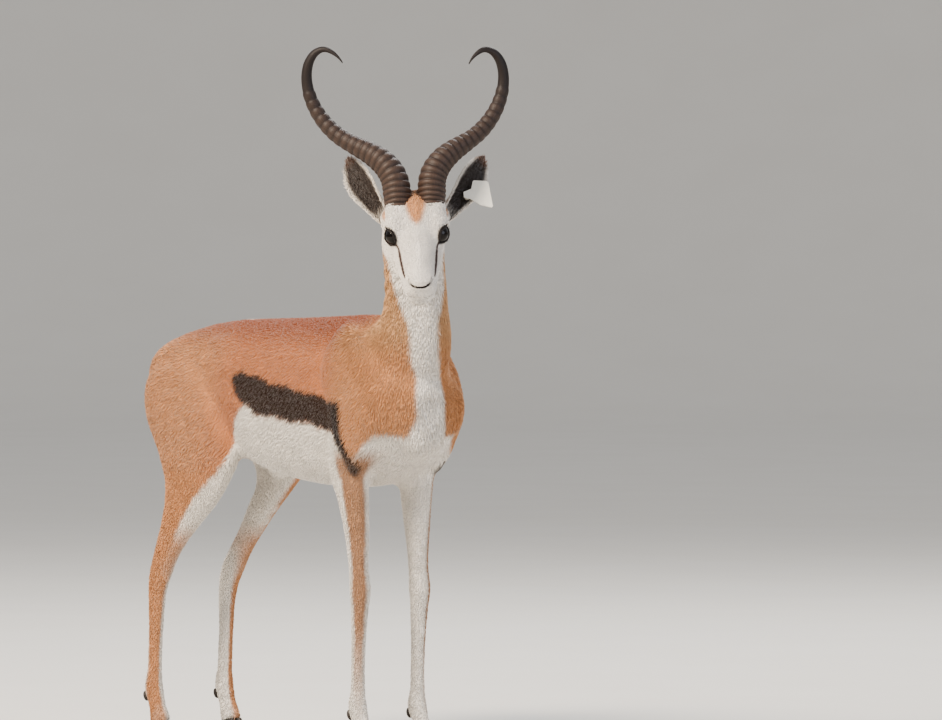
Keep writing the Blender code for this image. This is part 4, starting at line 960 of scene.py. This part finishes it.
ear_tones = {"inside": "#3A302B", "rim": "#DDD6CD", "tip": "#5E4233", "back": "#A98B73"}
ear_tones = {key: np.array(linear(code)[:3]) for key, code in ear_tones.items()}
for word, side in (("left", 1), ("right", -1)):
    rows, columns = 46, 26
    points, colours = [], []
    for depth in (0.0003, 0.0022):
        for i in range(rows):
            share = -0.10 + 1.10 * (1 - (1 - i / (rows - 1)) ** 1.25)
            for j in range(columns):
                arc = 2 * j / (columns - 1) - 1
                thin = depth if depth < 0.001 else 0.0022 - 0.0009 * abs(arc) ** 4
                fold = 0.0005 * math.sin(9 * arc) * math.sin(math.pi * max(share, 0)) if depth > 0.001 else 0
                points.append(ear_sheet(side, share, arc, thin + fold))
                rim_share = ramp(0.62, 0.92, np.array(abs(arc))) * ramp(0.95, 0.80, np.array(share))
                base_tone = ear_tones["back"] if depth < 0.001 else ear_tones["inside"]
                tone = base_tone + (ear_tones["rim"] - base_tone) * rim_share
                tone = tone + (ear_tones["rim"] - tone) * 0.8 * ramp(0.22, 0.02, np.array(share))
                tip_share = ramp(0.80, 0.97, np.array(share)) * 0.9
                colours.append(tone + (ear_tones["tip"] - tone) * tip_share)
    layer_size = rows * columns
    grid = []
    for i in range(rows - 1):
        for j in range(columns - 1):
            a = i * columns + j
            grid.append((a, a + 1, a + columns + 1, a + columns))
            b = layer_size + a
            grid.append((b, b + columns, b + columns + 1, b + 1))
    for i in range(rows - 1):
        a, b = i * columns, (i + 1) * columns
        grid.append((a, b, layer_size + b, layer_size + a))
        a, b = a + columns - 1, b + columns - 1
        grid.append((b, a, layer_size + a, layer_size + b))
    for j in range(columns - 1):
        grid.append((j + 1, j, layer_size + j, layer_size + j + 1))
        a = (rows - 1) * columns + j
        grid.append((a, a + 1, layer_size + a + 1, layer_size + a))
    mesh = quick_mesh("ear_sheet_" + word, np.array(points), np.array(grid))
    if side < 0:
        mesh.flip_normals()  # the mirrored sheet is wound the other way
    shape = bmesh.new()
    shape.from_mesh(mesh)
    bmesh.ops.recalc_face_normals(shape, faces=shape.faces)
    shape.to_mesh(mesh)
    shape.free()
    mesh.shade_smooth()
    paint_coat(mesh, np.array(colours))
    layer = mesh.uv_layers.new(name="OFBake")
    vertex = read(mesh.loops, "vertex_index", 1, int)[:, 0]
    spot = vertex % layer_size
    over = (spot % columns) / columns * 0.48 + (vertex >= layer_size) * 0.5 + 0.01
    places = np.stack([over, (spot // columns) / rows * 0.96 + 0.02], 1)
    layer.uv.foreach_set("vector", places.astype(np.float32).ravel())
    mesh.materials.append(hide)
    leaf = show("ear_sheet_" + word, mesh)
    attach(leaf, "root")
    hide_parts("ear_" + word)
    root, ways = ear_frame(side)
    leaf_faces = surface(leaf)
    kept = (leaf_faces[0].mean(1) - root) @ ways[0] / EAR_LENGTH > 0.02

    def up_ear(points, way=ways[0]):
        return np.tile(way, (len(points), 1))

    ear_hair = (0.0085, 0.0012, 0.0021, 12)
    tufts("coat_ear_" + word, leaf_faces, kept, up_ear, ear_hair, 60 + side)


# The horns. Ringed lyres of keratin over a bony core, turning in and back at smooth dark tips, rooted
# in the brow. Each is one lofted sheath whose rings swell more in front than behind.
HORN_COURSE = np.array(
    [
        (0.000, 88, 14),
        (0.037, 82, 16),
        (0.099, 60, 20),
        (0.179, 40, 26),
        (0.266, 29, 28),
        (0.350, 31, 27),
        (0.436, 44, 22),
        (0.532, 58, 12),
        (0.628, 73, 2),
        (0.707, 88, -8),
        (0.772, 106, -14),
        (0.826, 129, -18),
        (0.868, 160, -20),
        (0.913, 209, -20),
        (1.000, 242, -16),
    ]
)
HORN_WIDTH = np.array(
    [
        (0.000, 0.0232),
        (0.099, 0.0222),
        (0.181, 0.0200),
        (0.266, 0.0168),
        (0.351, 0.0142),
        (0.434, 0.0136),
        (0.533, 0.0123),
        (0.628, 0.0107),
        (0.704, 0.0096),
        (0.771, 0.0088),
        (0.830, 0.0072),
        (0.870, 0.0055),
        (0.931, 0.0036),
        (1.000, 0.0009),
    ]
)
HORN_RINGS = 24
HORN_SIDES = 36
HORN_ROOT = 0.045
HORN_DEPTH_RATIO = 1.14
RING_HEIGHT = 0.0027


def horn_stations():
    """Shares of the length, the swell of the ring there and its place between two grooves."""
    edges = -0.110 + 0.770 * np.linspace(0, 1, HORN_RINGS + 1) ** 1.35
    found = []
    for i, (start, end) in enumerate(zip(edges, edges[1:])):
        for t in np.linspace(0, 1, 8, endpoint=False):
            shape = math.sin(math.pi * t**1.25) ** 0.75 if t > 0 else 0.0
            found.append((start + t * (end - start), shape * (1.0 - 0.55 * i / HORN_RINGS)))
    return found + [(share, 0.0) for share in 0.66 + 0.34 * np.linspace(0, 1, 34)]


# Horn sheath: black-brown, with the dusty grey-brown of worn rings, and long fine striations.
keratin, tree, shader = new_material("horn sheath", {"Roughness": 0.55, "Specular IOR Level": 0.45})
place = add(tree, "ShaderNodeUVMap", {"uv_map": "OFBake"}).outputs["UV"]
drawn = add(tree, "ShaderNodeMapping", None, {"Scale": (42.0, 5.0, 1.0)}, {"Vector": place}).outputs["Vector"]
grain = add(tree, "ShaderNodeTexNoise", None, {"Scale": 4.0, "Detail": 5.0}, {"Vector": drawn}).outputs["Fac"]
worn = add(tree, "ShaderNodeAttribute", {"attribute_name": "Worn"}).outputs["Fac"]
dust = add(tree, "ShaderNodeMath", {"operation": "MULTIPLY"}, None, {0: worn, 1: grain}).outputs["Value"]
more = add(tree, "ShaderNodeMath", {"operation": "MULTIPLY"}, {1: 1.25}, {0: dust}).outputs["Value"]
two_tones(tree, shader, more, linear("#1B1210"), linear("#5A463B"))
relief(tree, shader, grain, 0.5, 0.0006)

for word, side, horn_length in (("left", 1, 0.3680), ("right", -1, 0.3910)):
    steps = 240
    middle = (np.arange(steps) + 0.5) / steps
    heading, lean = (np.radians(np.interp(middle, HORN_COURSE[:, 0], HORN_COURSE[:, k])) for k in (1, 2))
    moves = np.stack([-np.sin(lean), np.cos(lean) * np.cos(heading), np.cos(lean) * np.sin(heading)], 1)
    path = np.vstack([np.zeros(3), np.cumsum(moves * horn_length / steps, axis=0)])
    shares = np.linspace(0, 1, len(path))
    foot = from_skull(np.array([0.034, 0.0300 * side, 0.052]))
    across = np.array([0.0, 1.0, 0.0])
    rings, wear = [], []
    turns = np.linspace(0, 2 * math.pi, HORN_SIDES, endpoint=False)
    for share, swell in [(-HORN_ROOT / horn_length, 0.0)] + horn_stations():
        held = max(share, 0.0)
        here, near, past = (
            np.array([np.interp(np.clip(held + reach, 0, 1), shares, path[:, k]) for k in range(3)])
            for reach in (0, 0.01, -0.01)
        )
        along = (near - past) / np.linalg.norm(near - past)
        here = here + along * (share - held) * horn_length
        across = across - along * (across @ along)
        across /= np.linalg.norm(across)
        deep = np.cross(along, across)
        size = np.interp(held, HORN_WIDTH[:, 0], HORN_WIDTH[:, 1]) - 0.0002
        size *= np.interp(share, (-0.10, -0.01), (0.90, 1.0))
        uneven = 0.78 - 0.22 * np.sin(turns) + 0.06 * np.sin(3 * turns + 9 * share)
        grow = 1 + swell * RING_HEIGHT / size * uneven
        ring = here + np.cos(turns)[:, None] * across * (size * grow)[:, None]
        ring = ring + np.sin(turns)[:, None] * deep * (size * HORN_DEPTH_RATIO * grow)[:, None]
        rings.append(foot + (ring * np.array([1, side, 1])) @ level_axes)
        fade = float(np.interp(share, (0.0, 0.55, 0.72), (1.0, 0.8, 0.05)))
        wear.append(np.full(len(turns), fade * (0.25 + 0.75 * swell)))
    sheath_piece = tube("horn_sheath_" + word, rings, False)
    mesh = sheath_piece.data
    layer = mesh.attributes.new("Worn", "FLOAT", "POINT")
    layer.data.foreach_set("value", np.concatenate(wear).astype(np.float32))
    layer = mesh.uv_layers.new(name="OFBake")
    vertex = read(mesh.loops, "vertex_index", 1, int)[:, 0]
    places = np.stack([(vertex % HORN_SIDES) / HORN_SIDES, (vertex // HORN_SIDES) / len(rings)], 1)
    layer.uv.foreach_set("vector", places.astype(np.float32).ravel())
    mesh.materials.append(keratin)
    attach(sheath_piece, "root")
    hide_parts("horn_" + word)


# The hooves. Two pointed claws of black keratin to a foot, with dewclaws behind the fetlock, fixed
# under the coronet. Each claw is a loft with a flat sole, bowed outwards and flat towards its twin.
# Hoof horn: slate black, with growth rings across the wall.
hoof_horn, tree, shader = new_material("hoof horn", {"Roughness": 0.5, "Specular IOR Level": 0.4})
place = add(tree, "ShaderNodeTexCoord").outputs["Object"]
sizes = {"Scale": 90.0, "Distortion": 2.0, "Detail": 2.0}
growth = add(tree, "ShaderNodeTexWave", {"bands_direction": "Z"}, sizes, {"Vector": place}).outputs["Fac"]
two_tones(tree, shader, growth, linear("#1F1B19"), linear("#37302B"))
relief(tree, shader, growth, 0.3, 0.0004)

# Share of the height, reach to toe and heel and share of the width. The claw is trimmed at its edges.
HOOF_RINGS = ((0.00, 0.0400, 0.0195, 1.00), (0.14, 0.0400, 0.0200, 1.03), (0.50, 0.0305, 0.0198, 0.99))
HOOF_RINGS = np.array(HOOF_RINGS + ((1.00, 0.0195, 0.0190, 0.94),))
HOOF_WIDTH = 0.0185
HOOF_SPLIT = 0.0006
HOOF_TRIM = 0.0006
DEWCLAW_PLACE = (0.0090, 0.0375, 0.0730)
DEWCLAW_RADII = (0.0052, 0.0048, 0.0095)
feet = {
    "foreleg_left": (0.060, -0.021),
    "foreleg_right": (-0.060, -0.021),
    "hindleg_left": (0.052, 0.649),
    "hindleg_right": (-0.095, 0.645),
}
for leg, (foot_x, foot_y) in feet.items():
    foot = np.array([foot_x, foot_y, 0.0]) + np.array(plan)
    for word, side in (("left", 1), ("right", -1)):
        rings = []
        turns = np.linspace(0, 2 * math.pi, 44, endpoint=False)
        for share in (0.0, 0.02, 0.08, 0.16, 0.26, 0.38, 0.50, 0.62, 0.75, 0.88, 0.97, 1.0):
            toe, heel, spread = (np.interp(share, HOOF_RINGS[:, 0], HOOF_RINGS[:, k]) for k in (1, 2, 3))
            trim = HOOF_TRIM if share in (0.0, 1.0) else 0.0
            front, bow = np.cos(turns), np.sin(turns)
            y_way = np.where(front > 0, -front * (toe - trim), -front * (heel - trim))
            lean = 1 - 0.55 * np.clip(front, 0, 1) ** 1.6
            out = HOOF_WIDTH * np.where(bow > 0, 0.5 + 0.5 * bow * lean, 0.5 + 0.5 * bow)
            out = (HOOF_SPLIT + np.clip(out, 0, 1)) * spread - trim * (bow > 0.3)
            top = 0.036 - 0.014 * (y_way + 0.040) / 0.060
            rings.append(foot + np.stack([side * out, y_way, share * top], 1))
        claw = tube("claw_" + leg + "_" + word, rings, False)
        claw.data.set_sharp_from_angle(angle=math.radians(50))
        claw.data.materials.append(hoof_horn)
        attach(claw, "root")
        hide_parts("hoof_" + leg + "_" + word)
        bpy.ops.mesh.primitive_uv_sphere_add(segments=24, ring_count=16, radius=1)
        spur = bpy.context.object
        spur.name = "spur_" + leg + "_" + word
        turn = Matrix.Translation(foot + np.array(DEWCLAW_PLACE) * np.array([side, 1, 1]))
        turn = turn @ Matrix.Rotation(math.radians(-24), 4, "X") @ Matrix.Diagonal((*DEWCLAW_RADII, 1))
        spur.data.transform(turn)
        spur.data.shade_smooth()
        spur.data.materials.append(hoof_horn)
        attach(spur, "root")
        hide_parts("dewclaw_" + leg + "_" + word)


# The ear tag. A plain flag of moulded white plastic on a dark stud that passes through the left ear.
# Tag plastic: white polyurethane, slightly yellowed and dusty, with a satin face.
for node, slot, code, name, rough in (
    ("ear_tag", "ear_tag", "#E9E6DC", "tag plastic", 0.45),
    ("ear_tag_stud", "tag_stud", "#26282B", "stud plastic", 0.4),
):
    plastic, tree, shader = new_material(name, {"Roughness": rough})
    dusty = (*[c * 0.86 for c in linear(code)[:3]], 1.0)
    two_tones(tree, shader, speckle(tree, 120.0, 3.0), linear(code), dusty)
    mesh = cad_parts[node].data
    mesh.materials.clear()
    mesh.materials.append(plastic)


# The tail. A thin white-haired dock that hangs behind the rump and ends in a switch of long black
# hair. The dock is a lofted core under white tufts, and the switch is made of tapered locks.
# Place behind the forelegs, height and half width along the dock.
TAIL = np.array(
    [
        (0.680, 0.704, 0.0200),
        (0.722, 0.696, 0.0185),
        (0.745, 0.670, 0.0155),
        (0.754, 0.625, 0.0118),
        (0.755, 0.570, 0.0097),
        (0.754, 0.525, 0.0080),
    ]
)
TAIL_STATIONS = 60
TAIL_SIDES = 28
DOCK_DEPTH = 0.0022
knots = np.linspace(0, 1, len(TAIL))
slopes = np.gradient(TAIL, knots, axis=0)
rings = []
core = []
for t in np.linspace(0, 1, TAIL_STATIONS):
    k = min(int(t * (len(TAIL) - 1)), len(TAIL) - 2)
    span = knots[k + 1] - knots[k]
    f = (t - knots[k]) / span
    row = (2 * f**3 - 3 * f**2 + 1) * TAIL[k] + (f**3 - 2 * f**2 + f) * slopes[k] * span
    row = row + (3 * f**2 - 2 * f**3) * TAIL[k + 1] + (f**3 - f**2) * slopes[k + 1] * span
    core.append(row)
core = np.array(core)
for k, (tail_y, tail_z, half) in enumerate(core):
    ahead = core[min(k + 1, TAIL_STATIONS - 1), :2] - core[max(k - 1, 0), :2]
    ahead /= np.linalg.norm(ahead)
    turns = np.linspace(0, 2 * math.pi, TAIL_SIDES, endpoint=False)
    half = half - DOCK_DEPTH
    wide, thick = np.cos(turns) * half, np.sin(turns) * half * 0.85
    ring = np.stack([wide, tail_y - ahead[1] * thick, tail_z + ahead[0] * thick], 1)
    rings.append(ring + np.array(plan))
dock = tube("dock", rings, False)
paint_coat(dock.data, np.tile(np.array(linear("#E4DED5")[:3]), (len(dock.data.vertices), 1)))
layer = dock.data.uv_layers.new(name="OFBake")
vertex = read(dock.data.loops, "vertex_index", 1, int)[:, 0]
places = np.stack([(vertex % TAIL_SIDES) / TAIL_SIDES, (vertex // TAIL_SIDES) / TAIL_STATIONS], 1)
layer.uv.foreach_set("vector", (places * 0.95 + 0.02).astype(np.float32).ravel())
dock.data.materials.append(hide)
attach(dock, "root")
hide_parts("tail")


def down_tail(points):
    return np.tile(np.array([0.0, 0.12, -1.0]), (len(points), 1))


dock_faces = surface(dock)
hanging = dock_faces[0].mean(1)[:, 2] < 0.71
tufts("coat_dock", dock_faces, hanging, down_tail, (0.014, 0.0018, 0.0024, 9), 90)

# Long switch hair: black with a brown cast where light passes, and a low gloss.
switch_hair, tree, shader = new_material("switch hair", {"Roughness": 0.5, "Sheen Weight": 0.15})
two_tones(tree, shader, speckle(tree, 500.0, 2.0), linear("#120D0B"), linear("#2E2019"))
SWITCH_LOCKS = 420
SWITCH_TOP = 0.530
LOCK_RADIUS = 0.0011
rng = np.random.default_rng(31)
locks, lock_faces = [], []
for i in range(SWITCH_LOCKS):
    angle = rng.uniform(0, 2 * math.pi)
    out = np.array([math.cos(angle), math.sin(angle), 0.0])
    start = rng.uniform(0, 1)
    root = np.array([0.0, TAIL[-1, 0], SWITCH_TOP - 0.034 * start]) + out * rng.uniform(0.001, 0.0075)
    root = root + np.array(plan)
    long = rng.uniform(0.052, 0.088) * (1 - 0.12 * start)
    flare = rng.uniform(0.02, 0.24)
    side_way = np.array([-out[1], out[0], 0.0])
    drift = rng.normal(0, 0.05)
    for k, share in enumerate((0.0, 0.25, 0.5, 0.75, 1.0)):
        size = LOCK_RADIUS * (1 - 0.9 * share**1.5)
        here = root + np.array([0, 0, -long * share]) + out * flare * long * share * (1 - 0.5 * share)
        here = here + side_way * drift * long * share**2
        for turn in range(3):
            a = 2 * math.pi * turn / 3
            locks.append(here + (side_way * math.cos(a) * 1.4 + out * math.sin(a)) * size)
    at = i * 15
    for k in range(4):
        for c in range(3):
            upper, beside = at + k * 3 + c, at + k * 3 + (c + 1) % 3
            lock_faces += [(upper, upper + 3, beside + 3), (upper, beside + 3, beside)]
    lock_faces += [(at, at + 1, at + 2), (at + 14, at + 13, at + 12)]
switch = show("switch", quick_mesh("switch", np.array(locks), np.array(lock_faces)))
switch.data.materials.append(switch_hair)
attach(switch, "root")
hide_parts("tail_tuft")
